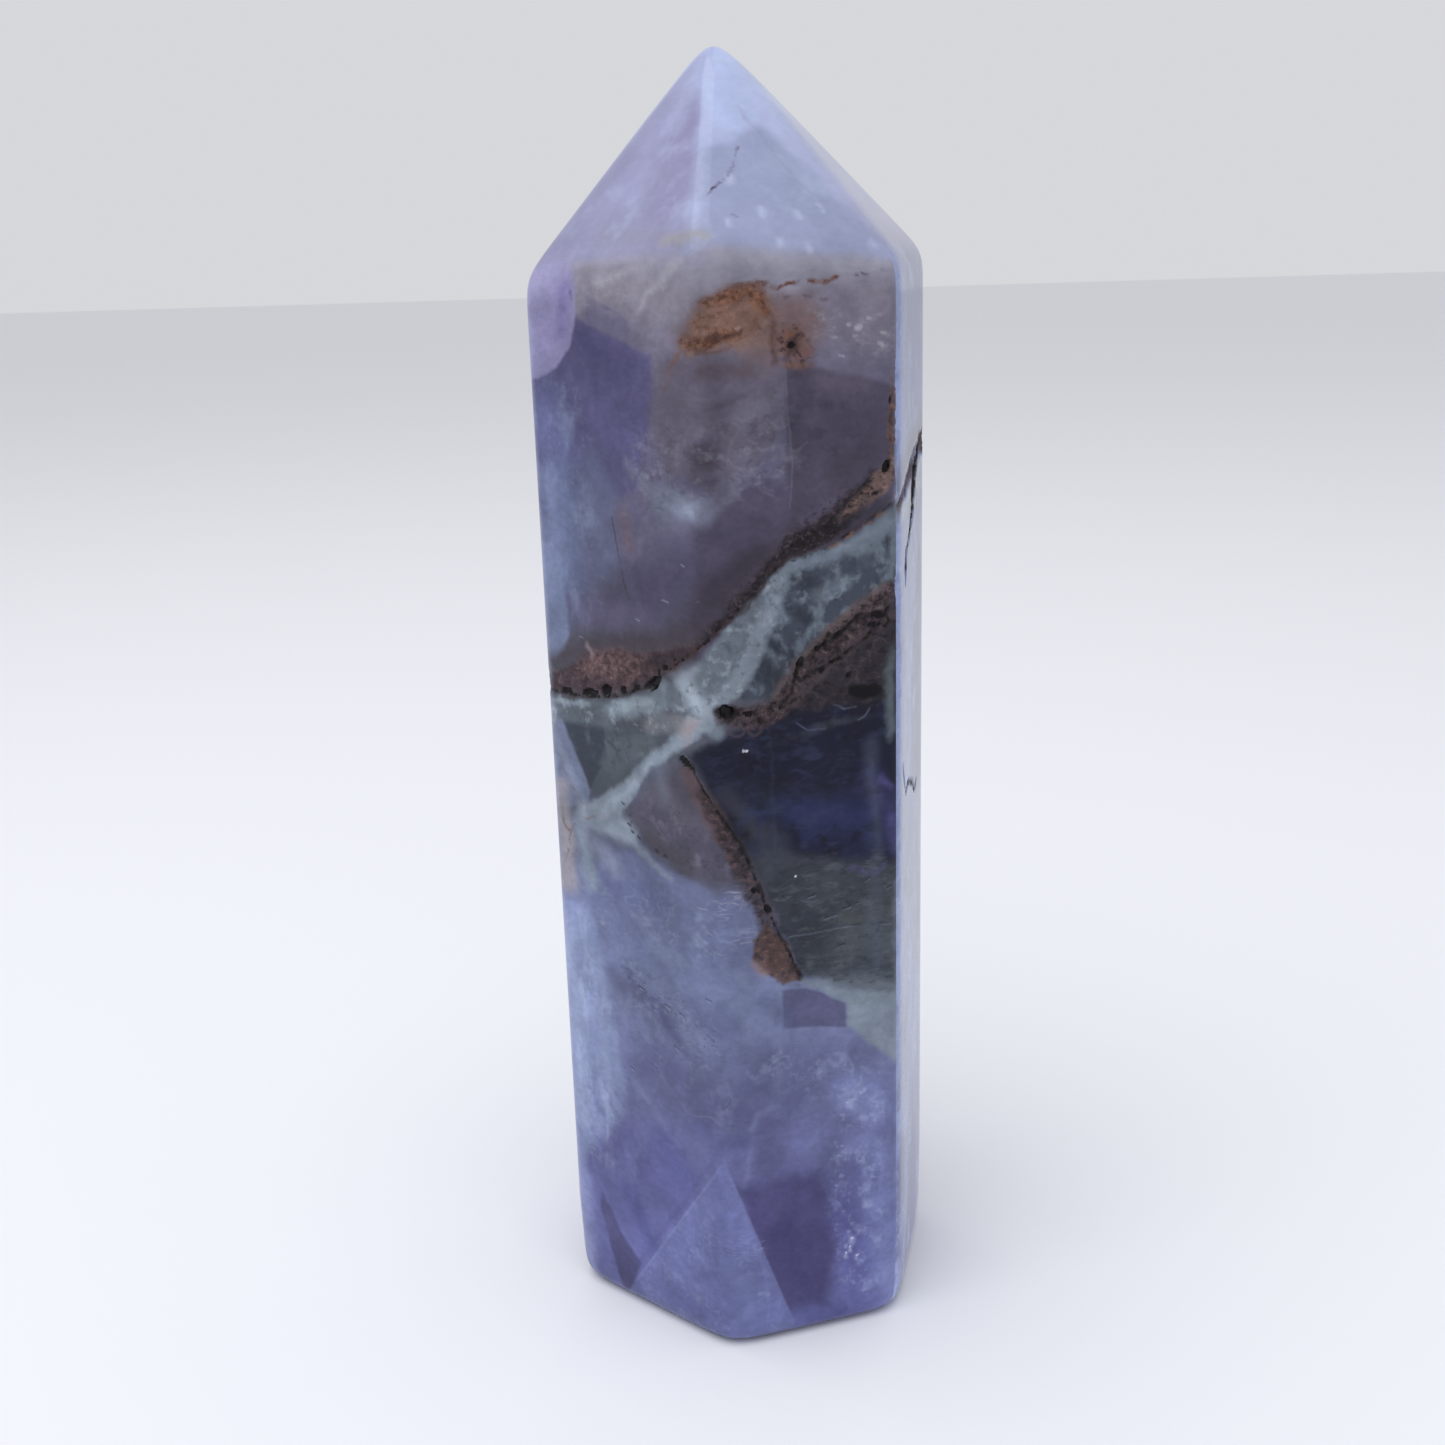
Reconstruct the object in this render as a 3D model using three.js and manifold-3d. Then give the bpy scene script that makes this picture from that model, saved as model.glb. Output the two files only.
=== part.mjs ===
// Chevron amethyst generator: a six-sided tower of banded quartz, cut and tumble polished from one piece.
// Millimetres, +Z up. The origin is on the flat foot, under the middle of the stone.
import * as THREE from "three";
import { mergeVertices } from "three/addons/utils/BufferGeometryUtils.js";
import Module from "manifold-3d";

// The sharp prism before polishing: each long edge by its azimuth in degrees, its distance from the
// middle and the height of its shoulder, where the tip facets start.
const EDGES = [
  { name: "near", azimuth: -96.8, radius: 13.85, shoulder: 76.4 },
  { name: "right", azimuth: -41.0, radius: 14.2, shoulder: 75.3 },
  { name: "far_right", azimuth: 18.6, radius: 14.2, shoulder: 75.7 },
  { name: "back", azimuth: 78.1, radius: 14.1, shoulder: 75.5 },
  { name: "back_left", azimuth: 138.7, radius: 13.75, shoulder: 74.7 },
  { name: "left", azimuth: 198.4, radius: 14.2, shoulder: 74.8 },
];
const APEX = new THREE.Vector3(-0.8, -0.3, 90.0);

// How far the tumbling has worn the sharp edges: about 0.25 mm off an edge and 1 mm off the apex.
const WEAR = 1 / 3;

// The lowest wear at the foot that still counts as flat, so that the stone stands on one plane.
const FLAT_WITHIN = 0.004;

// Every point of the surface is found on a ray from the stone's upright axis, between these heights.
const LOWEST_ORIGIN = 14;
const HIGHEST_ORIGIN = 62;
const FARTHEST_RAY = 40;
const RAY_STEPS = 48;

// The mesh: columns on each face, drawn in towards the long edges, and rows crowded at each edge.
const COLUMNS_PER_FACE = 12;
const EDGE_CROWDING = 0.85;
const ROWS_FROM_EDGE = [0.25, 0.7, 1.5, 3, 6];
const ROWS_UP_THE_SIDE = [20, 34, 48, 62];
const ROWS_UP_THE_TIP = [9, 13];
const ROWS_FROM_APEX = [3, 1.6, 0.8, 0.35];

// The iron seam that runs slantwise through the whole stone: its height on the axis, and its rise
// for each millimetre to the right and to the back.
const SEAM_HEIGHT = 55.2;
const SEAM_RISE_RIGHT = 0.576;
const SEAM_RISE_BACK = 0.153;

// Pits that the polish has left open along the soft seams of the two front faces: the edge that the
// face starts from, the distance along the face, the height, the size and the turn in the face.
const FRONT_PITS = [
  { face: "left", along: 2.0, height: 47.2, width: 1.0, tall: 0.45, turn: 0 },
  { face: "left", along: 4.2, height: 47.4, width: 1.3, tall: 0.6, turn: 8 },
  { face: "left", along: 5.8, height: 47.8, width: 1.0, tall: 0.8, turn: 20 },
  { face: "left", along: 7.3, height: 48.1, width: 0.6, tall: 0.45, turn: 60 },
  { face: "left", along: 8.6, height: 48.4, width: 0.7, tall: 0.4, turn: 20 },
  { face: "left", along: 10.1, height: 48.9, width: 1.5, tall: 0.8, turn: 35 },
  { face: "left", along: 11.2, height: 50.1, width: 0.6, tall: 0.4, turn: 20 },
  { face: "left", along: 12.7, height: 43.9, width: 1.2, tall: 0.45, turn: -30 },
  { face: "near", along: 1.1, height: 47.6, width: 1.1, tall: 0.8, turn: -40 },
  { face: "near", along: 2.6, height: 47.3, width: 0.6, tall: 0.45, turn: 0 },
  { face: "near", along: 6.2, height: 50.3, width: 0.6, tall: 0.45, turn: 40 },
  { face: "near", along: 7.4, height: 51.2, width: 0.5, tall: 0.4, turn: 30 },
  { face: "near", along: 11.7, height: 52.6, width: 1.3, tall: 0.75, turn: -10 },
  { face: "near", along: 3.6, height: 33.6, width: 0.7, tall: 0.45, turn: -50 },
  { face: "near", along: 12.3, height: 62.6, width: 0.6, tall: 0.8, turn: 0 },
];

// Pits on the four faces behind, which lie on the slanting seam: the edge that the face starts from,
// the distance along the face, the distance from the seam's middle and the size.
const SEAM_PITS = [
  { face: "right", along: 3.2, above: -0.4, width: 1.2, tall: 0.5, turn: 15 },
  { face: "right", along: 5.6, above: 0.3, width: 0.8, tall: 0.5, turn: 40 },
  { face: "far_right", along: 4.5, above: 0.2, width: 0.9, tall: 0.6, turn: -20 },
  { face: "far_right", along: 9.5, above: -0.3, width: 1.1, tall: 0.5, turn: -10 },
  { face: "back", along: 3.8, above: 0.3, width: 0.8, tall: 0.5, turn: 10 },
  { face: "back", along: 8.1, above: -0.2, width: 1.3, tall: 0.6, turn: 30 },
  { face: "back_left", along: 5.0, above: 0.2, width: 0.8, tall: 0.5, turn: 5 },
  { face: "back_left", along: 10.6, above: -0.3, width: 1.0, tall: 0.5, turn: 20 },
];
const PIT_DEPTH_OF_HEIGHT = 0.6;

const STONE_COLOUR = 0x7d7aa6;
const STONE_ROUGHNESS = 0.12;

const wasm = await Module();
wasm.setup();

const edges = EDGES.map((edge) => {
  const azimuth = THREE.MathUtils.degToRad(edge.azimuth);
  const foot = new THREE.Vector3(edge.radius * Math.cos(azimuth), edge.radius * Math.sin(azimuth), 0);
  const shoulder = foot.clone().setZ(edge.shoulder);
  return { name: edge.name, foot, shoulder };
});

// The edge after the given one, going round counterclockwise as seen from above.
function edgeAfter(index) {
  return edges[(index + 1) % edges.length];
}

// The flat faces of the sharp stone, all facing out: the foot, six sides and six tip facets.
function sharpPlanes() {
  const planes = [new THREE.Plane(new THREE.Vector3(0, 0, -1), 0)];
  edges.forEach((edge, index) => {
    const next = edgeAfter(index);
    planes.push(new THREE.Plane().setFromCoplanarPoints(edge.foot, next.foot, next.shoulder));
    planes.push(new THREE.Plane().setFromCoplanarPoints(edge.shoulder, next.shoulder, APEX));
  });
  return planes;
}

const planes = sharpPlanes();

// How far a point is outside the polished stone. It is the largest distance from any one face, with
// the change from face to face worn soft, so edges come out rounded and corners rounder still.
function outsidePolished(point) {
  const sum = planes.reduce((total, plane) => total + Math.exp(plane.distanceToPoint(point) / WEAR), 0);
  return WEAR * Math.log(sum);
}

// The point of the polished surface on the ray from the upright axis through a point of the sharp one.
function polished(sharp) {
  const origin = new THREE.Vector3(
    APEX.x,
    APEX.y,
    THREE.MathUtils.clamp(sharp.z, LOWEST_ORIGIN, HIGHEST_ORIGIN),
  );
  const direction = sharp.clone().sub(origin).normalize();
  const point = new THREE.Vector3();
  let inside = 0;
  let outside = FARTHEST_RAY;
  for (let step = 0; step < RAY_STEPS; step += 1) {
    const middle = (inside + outside) / 2;
    point.copy(origin).addScaledVector(direction, middle);
    if (outsidePolished(point) > 0) outside = middle;
    else inside = middle;
  }
  if (Math.abs(point.z) < FLAT_WITHIN) point.z = 0;
  return point;
}

// The sharp foot and shoulder points at a place along a face, drawn in towards the face's two edges.
function sharpColumn(index, share) {
  const eased = share - (EDGE_CROWDING * Math.sin(2 * Math.PI * share)) / (2 * Math.PI);
  const edge = edges[index];
  const next = edgeAfter(index);
  return {
    foot: edge.foot.clone().lerp(next.foot, eased),
    shoulder: edge.shoulder.clone().lerp(next.shoulder, eased),
  };
}

// The points of one column, from the middle of the foot, up the side and over the shoulder to the apex.
function columnPoints({ foot, shoulder }) {
  const middle = new THREE.Vector3(APEX.x, APEX.y, 0);
  const towardsMiddle = middle.clone().sub(foot).normalize();
  const towardsApex = APEX.clone().sub(shoulder).normalize();
  const up = new THREE.Vector3(0, 0, 1);
  const fromFoot = (direction, distance) => foot.clone().addScaledVector(direction, distance);
  const fromShoulder = (direction, distance) => shoulder.clone().addScaledVector(direction, distance);
  const outwards = [...ROWS_FROM_EDGE].reverse();
  return [
    middle,
    ...outwards.map((distance) => fromFoot(towardsMiddle, distance)),
    foot,
    ...ROWS_FROM_EDGE.map((distance) => fromFoot(up, distance)),
    ...ROWS_UP_THE_SIDE.map((height) => fromFoot(up, height)),
    ...outwards.map((distance) => fromShoulder(up, -distance)),
    shoulder,
    ...ROWS_FROM_EDGE.map((distance) => fromShoulder(towardsApex, distance)),
    ...ROWS_UP_THE_TIP.map((distance) => fromShoulder(towardsApex, distance)),
    ...ROWS_FROM_APEX.map((distance) => APEX.clone().addScaledVector(towardsApex, -distance)),
    APEX,
  ].map(polished);
}

// A closed geometry as a solid that can be joined and cut.
function solidFrom(geometry) {
  const bare = geometry.clone();
  bare.deleteAttribute("normal");
  bare.deleteAttribute("uv");
  const merged = mergeVertices(bare, 1e-4);
  return new wasm.Manifold(
    new wasm.Mesh({
      numProp: 3,
      vertProperties: merged.attributes.position.array,
      triVerts: new Uint32Array(merged.index.array),
    }),
  );
}

// The polished tower: a turned blank with a column of points for each turn step, each column then
// laid on the polished surface.
function polishedTower() {
  const columns = edges.flatMap((edge, index) =>
    Array.from({ length: COLUMNS_PER_FACE }, (_, step) =>
      columnPoints(sharpColumn(index, step / COLUMNS_PER_FACE)),
    ),
  );
  const rows = columns[0].length;
  const lastRow = rows - 1;
  const profile = columns[0].map((point, row) => {
    const onAxis = row === 0 || row === lastRow;
    return new THREE.Vector2(onAxis ? 0 : Math.hypot(point.x, point.y), row);
  });
  const blank = new THREE.LatheGeometry(profile, columns.length);
  blank.rotateX(Math.PI / 2);
  const position = blank.attributes.position;
  for (let vertex = 0; vertex < position.count; vertex += 1) {
    const column = columns[Math.floor(vertex / rows) % columns.length];
    const { x, y, z } = column[vertex % rows];
    position.setXYZ(vertex, x, y, z);
  }
  return solidFrom(blank);
}

// A pit: a small faceted hollow, centred on the face, turned in it and longer than it is deep.
function pit(face, along, height, { width, tall, turn }) {
  const index = edges.findIndex((edge) => edge.name === face);
  const edge = edges[index];
  const across = edgeAfter(index).foot.clone().sub(edge.foot).normalize();
  const up = new THREE.Vector3(0, 0, 1);
  const outwards = across.clone().cross(up);
  const centre = edge.foot.clone().addScaledVector(across, along).setZ(height);
  const placed = new THREE.Matrix4().makeBasis(across, up, outwards).setPosition(centre);
  const hollow = new THREE.IcosahedronGeometry(1, 1);
  hollow.scale(width / 2, tall / 2, tall * PIT_DEPTH_OF_HEIGHT);
  hollow.rotateZ(THREE.MathUtils.degToRad(turn));
  hollow.applyMatrix4(placed);
  return solidFrom(hollow);
}

// The height of the slanting seam's middle at a distance along a face.
function seamHeight(face, along) {
  const index = edges.findIndex((edge) => edge.name === face);
  const across = edgeAfter(index).foot.clone().sub(edges[index].foot).normalize();
  const place = edges[index].foot.clone().addScaledVector(across, along);
  return SEAM_HEIGHT + SEAM_RISE_RIGHT * place.x + SEAM_RISE_BACK * place.y;
}

function allPits() {
  const front = FRONT_PITS.map((each) => pit(each.face, each.along, each.height, each));
  const behind = SEAM_PITS.map((each) =>
    pit(each.face, each.along, seamHeight(each.face, each.along) + each.above, each),
  );
  return [...front, ...behind];
}

// A solid as a mesh with flat faces.
function meshFrom(solid, name, material) {
  const { numProp, vertProperties, triVerts } = solid.getMesh();
  const corners = Float32Array.from(
    { length: (vertProperties.length / numProp) * 3 },
    (_, at) => vertProperties[Math.floor(at / 3) * numProp + (at % 3)],
  );
  const geometry = new THREE.BufferGeometry()
    .setAttribute("position", new THREE.BufferAttribute(corners, 3))
    .setIndex(new THREE.BufferAttribute(triVerts, 1));
  geometry.computeVertexNormals();
  const mesh = new THREE.Mesh(geometry, material);
  mesh.name = name;
  return mesh;
}

const stone = new THREE.MeshStandardMaterial({
  color: STONE_COLOUR,
  roughness: STONE_ROUGHNESS,
  metalness: 0,
  flatShading: true,
});

const tower = allPits().reduce((solid, hollow) => solid.subtract(hollow), polishedTower());

const generator = new THREE.Group();
generator.add(meshFrom(tower, "amethyst_tower", stone));

export default generator;
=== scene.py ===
import math

import bmesh
import bpy
import numpy as np
from mathutils import Matrix, Vector, noise


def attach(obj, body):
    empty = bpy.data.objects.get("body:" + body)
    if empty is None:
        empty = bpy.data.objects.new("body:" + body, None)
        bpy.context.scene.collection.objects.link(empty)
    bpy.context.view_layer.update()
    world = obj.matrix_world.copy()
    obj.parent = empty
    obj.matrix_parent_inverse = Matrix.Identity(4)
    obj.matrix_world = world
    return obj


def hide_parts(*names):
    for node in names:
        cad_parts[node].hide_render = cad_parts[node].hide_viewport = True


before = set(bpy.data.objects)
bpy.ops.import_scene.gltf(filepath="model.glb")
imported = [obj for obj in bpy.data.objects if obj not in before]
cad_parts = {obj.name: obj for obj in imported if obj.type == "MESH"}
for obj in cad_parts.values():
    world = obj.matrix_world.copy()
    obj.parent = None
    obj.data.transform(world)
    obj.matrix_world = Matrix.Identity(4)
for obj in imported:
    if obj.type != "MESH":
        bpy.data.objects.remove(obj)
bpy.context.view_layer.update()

# The chevron amethyst tower: one polished stone on a pale floor.
# Lengths in this script are millimetres until a mesh, a lamp or the camera is made, in metres.
MM = 0.001

# The stone before polishing: each long edge by its azimuth in degrees, its distance from the
# middle and the height of its shoulder. The first one is the edge nearest to the camera.
LONG_EDGES = (
    (-96.8, 13.85, 76.4),
    (-41.0, 14.20, 75.3),
    (18.6, 14.20, 75.7),
    (78.1, 14.10, 75.5),
    (138.7, 13.75, 74.7),
    (198.4, 14.20, 74.8),
)
APEX = Vector((-0.8, -0.3, 90.0))
# How far the polish rounds the sharp edges: along the sides, at the foot and at the tip, and the
# heights where the foot's wear ends and the tip's begins. Points within FLAT_WITHIN of the floor
# are laid on it.
WEAR = 1 / 3
WEAR_AT_FOOT = 0.66
FOOT_WEAR_ENDS = 7.0
WEAR_AT_TIP = 0.45
TIP_WEAR_BEGINS = 84.0
FLAT_WITHIN = 0.004

# The blank that is polished: its columns on each face and its rows on foot, side and tip.
COLUMNS_PER_FACE = 30
FOOT_ROWS = 18
SIDE_ROWS = 110
TIP_ROWS = 40
SAME_POINT = 1e-5
# How much the rows and columns crowd at the worn edges: 0 is not at all, and 1 is to a stop.
CROWDING = 0.6
# How many parts a seam's faces are cut into each way, and how far beside the seam that goes on.
CUTS_IN_SEAMS = 6
FINE_MARGIN = 0.5

# The stone is painted zone by zone, so that the renderer meets only the growth that shows there.
# A zone is so many faces, counted round to the right from the near edge, between two heights.
RIGHT_FACE = (0,)
FACES_BEHIND = (1, 2, 3, 4)
LEFT_FACE = (5,)
LEVELS_IN_FRONT = (-1, 15, 30, 42, 54, 66, 92)
LEVELS_BEHIND = (-1, 40, 66, 92)
ZONES = [
    (faces, lowest, highest)
    for faces, levels in (
        (RIGHT_FACE, LEVELS_IN_FRONT),
        (LEFT_FACE, LEVELS_IN_FRONT),
        (FACES_BEHIND, LEVELS_BEHIND),
    )
    for lowest, highest in zip(levels, levels[1:])
]


def srgb(text):
    """An sRGB hex colour as linear red, green, blue and alpha."""
    values = [int(text[at : at + 2], 16) / 255 for at in (0, 2, 4)]
    linear = [v / 12.92 if v <= 0.04045 else ((v + 0.055) / 1.055) ** 2.4 for v in values]
    return (*linear, 1.0)


def edge_points(azimuth, radius, shoulder):
    """The foot and shoulder points of a long edge."""
    turn = math.radians(azimuth)
    foot = Vector((radius * math.cos(turn), radius * math.sin(turn), 0))
    return foot, Vector((foot.x, foot.y, shoulder))


EDGES = [edge_points(*edge) for edge in LONG_EDGES]
FACE_WIDTHS = [(EDGES[(i + 1) % len(EDGES)][0] - EDGES[i][0]).length for i in range(len(EDGES))]
GIRTH = sum(FACE_WIDTHS)


def column(index, share):
    """The sharp stone's foot and shoulder points at a share of the way along a face."""
    foot, shoulder = EDGES[index]
    next_foot, next_shoulder = EDGES[(index + 1) % len(EDGES)]
    return foot.lerp(next_foot, share), shoulder.lerp(next_shoulder, share)


def place(around, height):
    """A point on the sharp stone: so far round to the right of the near edge, and so high."""
    left = around % GIRTH
    index = 0
    while left > FACE_WIDTHS[index]:
        left -= FACE_WIDTHS[index]
        index += 1
    foot, shoulder = column(index, left / FACE_WIDTHS[index])
    if height <= shoulder.z:
        return Vector((foot.x, foot.y, height))
    return shoulder.lerp(APEX, (height - shoulder.z) / (APEX.z - shoulder.z))


def plane_of(first, second, third):
    """The outward normal of a flat face through three points, and its distance from the origin."""
    normal = (second - first).cross(third - first).normalized()
    return (*normal, normal.dot(first))


def sharp_planes():
    """The foot, the six sides and the six tip facets of the sharp stone."""
    planes = [(0, 0, -1, 0)]
    for index, (foot, shoulder) in enumerate(EDGES):
        next_foot, next_shoulder = EDGES[(index + 1) % len(EDGES)]
        planes.append(plane_of(foot, next_foot, next_shoulder))
        planes.append(plane_of(shoulder, next_shoulder, APEX))
    return np.array(planes)


PLANES = sharp_planes()


def wear_at(heights):
    """How far the sharp edges are worn back at heights: more at the foot and at the tip."""
    foot = np.clip(1 - heights / FOOT_WEAR_ENDS, 0, 1)
    tip = np.clip((heights - TIP_WEAR_BEGINS) / (APEX.z - TIP_WEAR_BEGINS), 0, 1)
    return WEAR + (WEAR_AT_FOOT - WEAR) * foot + (WEAR_AT_TIP - WEAR) * tip


def polished(points):
    """The points of the worn surface on the rays from the upright axis through sharp points."""
    lowest_origin, highest_origin, farthest, steps = 14, 62, 40, 44
    origins = np.empty_like(points)
    origins[:, 0] = APEX.x
    origins[:, 1] = APEX.y
    origins[:, 2] = np.clip(points[:, 2], lowest_origin, highest_origin)
    rays = points - origins
    rays /= np.linalg.norm(rays, axis=1, keepdims=True)
    inside = np.zeros(len(points))
    outside = np.full(len(points), float(farthest))
    for _ in range(steps):
        middle = (inside + outside) / 2
        tried = origins + rays * middle[:, None]
        distances = (tried @ PLANES[:, :3].T - PLANES[:, 3]) / wear_at(tried[:, 2:])
        is_out = np.logaddexp.reduce(distances, axis=1) > 0
        outside = np.where(is_out, middle, outside)
        inside = np.where(is_out, inside, middle)
    surface = origins + rays * inside[:, None]
    surface[np.abs(surface[:, 2]) < FLAT_WITHIN, 2] = 0
    return surface


def drawn_in(share):
    """A share from 0 to 1, drawn in towards both ends, so that rows crowd at the worn edges."""
    return share - CROWDING * math.sin(2 * math.pi * share) / (2 * math.pi)


def turned_blank():
    """A turned blank of radius 1 whose height counts its parts: foot to 1, side to 2, tip to 3."""
    blank = bmesh.new()
    corners = [blank.verts.new(co) for co in ((0, 0, 0), (1, 0, 1), (1, 0, 2), (0, 0, 3))]
    lines = [blank.edges.new(pair) for pair in zip(corners, corners[1:])]
    for line, rows in zip(lines, (FOOT_ROWS, SIDE_ROWS, TIP_ROWS)):
        bmesh.ops.subdivide_edges(blank, edges=[line], cuts=rows - 1)
    bmesh.ops.spin(
        blank,
        geom=[*blank.verts, *blank.edges],
        cent=(0, 0, 0),
        axis=(0, 0, 1),
        dvec=(0, 0, 0),
        angle=2 * math.pi,
        steps=COLUMNS_PER_FACE * len(EDGES),
        use_merge=True,
        use_duplicate=False,
    )
    bmesh.ops.remove_doubles(blank, verts=blank.verts, dist=SAME_POINT)
    return blank


def turned_columns(point):
    """How many columns round the blank a point of it lies, to the nearest cut of a column."""
    columns = COLUMNS_PER_FACE * len(EDGES)
    turned = math.atan2(point.y, point.x) / (2 * math.pi) * columns
    return round(turned * CUTS_IN_SEAMS) / CUTS_IN_SEAMS % columns


def face_and_share(point):
    """The face that a point of the turned blank becomes part of, and its share of the way along."""
    face, step = divmod(turned_columns(point), COLUMNS_PER_FACE)
    return int(face), drawn_in(step / COLUMNS_PER_FACE)


def sharp_point(point):
    """Where a point of the turned blank lies on the sharp stone."""
    foot, shoulder = column(*face_and_share(point))
    if point.z <= 1:
        middle = Vector((APEX.x, APEX.y, 0))
        share = point.z + CROWDING * math.sin(math.pi * point.z) / math.pi
        return middle.lerp(foot, share)
    if point.z <= 2:
        return foot.lerp(shoulder, drawn_in(point.z - 1))
    return shoulder.lerp(APEX, drawn_in(point.z - 2))


def unrolled(point):
    """How far round from the near edge a point of the turned blank comes to lie, and how high."""
    face, share = face_and_share(point)
    around = sum(FACE_WIDTHS[:face]) + share * FACE_WIDTHS[face]
    if face == LEFT_FACE[0]:
        around -= GIRTH
    return around, sharp_point(point).z


def worn_outward(points):
    """The directions outwards from the worn surface at points of it."""
    distances = (points @ PLANES[:, :3].T - PLANES[:, 3]) / wear_at(points[:, 2:])
    weights = np.exp(distances - distances.max(axis=1, keepdims=True))
    outward = weights @ PLANES[:, :3]
    return outward / np.linalg.norm(outward, axis=1, keepdims=True)


def cut_finer_at_seams(blank):
    """Cuts the blank's faces finer where a rough seam or a pit will be."""
    on_sides = [face for face in blank.faces if 1 < face.calc_center_median().z < 2]
    places = np.array([unrolled(face.calc_center_median()) for face in on_sides])
    near = np.zeros(len(places))
    for route, softness, _ in ROUGH_SEAMS:
        near = np.maximum(near, reach(places, route, softness + FINE_MARGIN))
    for around, up, length, height, _ in PITS:
        pit = thin(length / 2, (around, up), (around, up + height))
        near = np.maximum(near, reach(places, pit, FINE_MARGIN))
    edges = dict.fromkeys(
        edge for face, is_near in zip(on_sides, near) if is_near > 0 for edge in face.edges
    )
    bmesh.ops.subdivide_edges(blank, edges=list(edges), cuts=CUTS_IN_SEAMS - 1, use_grid_fill=True)


def zone_at(face_index, height):
    """The number of the zone of a face at a height."""
    for number, (faces, lowest, highest) in enumerate(ZONES):
        if face_index in faces and lowest <= height < highest:
            return number
    raise ValueError(f"no zone holds face {face_index} at {height} mm")


def polished_tower():
    """The stone's mesh: the blank with every vertex laid on the worn surface, or into its pits."""
    blank = turned_blank()
    cut_finer_at_seams(blank)
    centres = {face: face.calc_center_median() for face in blank.faces}
    for face, centre in centres.items():
        face.material_index = zone_at(face_and_share(centre)[0], sharp_point(centre).z)
    places = np.array([unrolled(vertex.co) for vertex in blank.verts])
    surface = polished(np.array([sharp_point(vertex.co) for vertex in blank.verts]))
    depths = wear_depths(places, surface)
    worn = surface - worn_outward(surface) * depths[:, None]
    for vertex, point in zip(blank.verts, worn):
        vertex.co = Vector(point) * MM
    bmesh.ops.recalc_face_normals(blank, faces=blank.faces)
    mesh = bpy.data.meshes.new("amethyst_tower_polished")
    blank.to_mesh(mesh)
    blank.free()
    mesh.attributes.new("wear_depth_mm", "FLOAT", "POINT").data.foreach_set("value", depths)
    mesh.shade_smooth()
    tower = bpy.data.objects.new("amethyst_tower_polished", mesh)
    bpy.context.scene.collection.objects.link(tower)
    return tower


def thin(width, *places):
    """A route through places that has the same half width everywhere."""
    return tuple((around, up, width) for around, up in places)


# The seams that the polish has worn rough. A route goes through places: how far each is round to
# the right of the near edge, how high it is, and the seam's half width there.
LEFT_SEAM = (
    (-15.4, 47.6, 0.6), (-12.8, 48, 0.8), (-10.4, 48.9, 1.5), (-8, 49.4, 1.5), (-5.4, 50, 1.1),
    (-3, 50.9, 0.6), (-0.8, 52.1, 0.25),
)
LEFT_LINING = thin(
    0.12, (-15, 47), (-12.5, 47.05), (-10.5, 47.2), (-9, 47.4), (-7.5, 47.8), (-6.3, 48.3), (-4.9, 48.7),
    (-4.2, 49.5), (-3, 50.3), (-1.8, 51.2), (0, 52.4),
)
VEIN_RIM = thin(
    0.14, (-0.3, 52.3), (1, 53.3), (2.5, 54.2), (3.8, 55.6), (4.8, 56.8), (5.5, 57.1), (8.2, 57.6),
    (8.9, 58.1), (10.5, 58.9), (13.1, 60.4),
)
DARK_GROWTH = (
    (-0.6, 52.5, 0.25), (1.4, 53.7, 0.4), (3.4, 55.5, 0.55), (5.4, 57.6, 0.6), (7.6, 58.6, 0.9),
    (9.6, 60, 0.9), (11.4, 62, 0.35),
)
RUSTY_EDGE = (
    (9.2, 59.5, 0.2), (10.6, 60.6, 0.5), (11.6, 61.2, 0.6), (12.9, 62.6, 0.7), (12.8, 65.4, 0.4),
    (13, 69, 0.2),
)
BROWN_BAND = (
    (0.8, 47.4, 0.5), (2.4, 47, 0.65), (4.2, 47.2, 0.75), (5.6, 48.3, 0.8), (6.6, 50, 0.8), (8.8, 51.8, 0.8),
    (11, 53.4, 0.8), (13, 54.8, 0.5),
)
UPPER_CREVICE = thin(
    0.14, (1.9, 47.5), (3.4, 47), (4.6, 47.3), (5.6, 48.6), (6.1, 50.2), (7, 51), (8.8, 51.9), (10.4, 53.2)
)
LOWER_CREVICE = thin(0.14, (7.2, 49.6), (9, 50.4), (10.4, 51.4), (11.6, 52.2), (12.4, 53.4))
RED_SEAM = thin(
    0.1, (-2.6, 44.3), (-1.7, 43.4), (-0.8, 42.2), (0.2, 40.9), (1.1, 39.7), (2, 38.2), (2.6, 36.4),
    (3.3, 34.4), (4, 32.6), (4.8, 30.8), (5.9, 28.3),
)
RED_HALO = (
    (-1, 42, 0.5), (0.3, 40.2, 0.6), (1.3, 38.3, 0.6), (2.2, 36, 0.65), (3.2, 33.6, 0.65), (4.3, 29.8, 0.8)
)
RUST_STAIN = ((-0.7, 70.6, 0.5), (0.8, 71.6, 1.3), (2.6, 72.2, 1.8), (3.6, 72.2, 1.5), (6, 70.4, 0.9))
SEAM_BEHIND = (
    (13.4, 60, 0.3), (20, 61.9, 0.7), (27.2, 62.8, 0.9), (34, 61.4, 1.2), (41, 58.7, 1), (48, 54.6, 0.8),
    (55.5, 50.6, 1.1), (62, 48.4, 1.2), (69.1, 47.6, 0.7),
)
END_CREVICE = (
    (23.9, 62.9, 0.2), (22.6, 61.9, 0.4), (20.9, 60.6, 0.8), (20.3, 59.2, 0.9), (19.4, 58.1, 0.5),
    (18.4, 57.2, 0.25), (17.2, 56.6, 0.15), (16.6, 56.2, 0.3), (16.5, 55.4, 0.5), (16.4, 54.4, 0.15),
)
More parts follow.
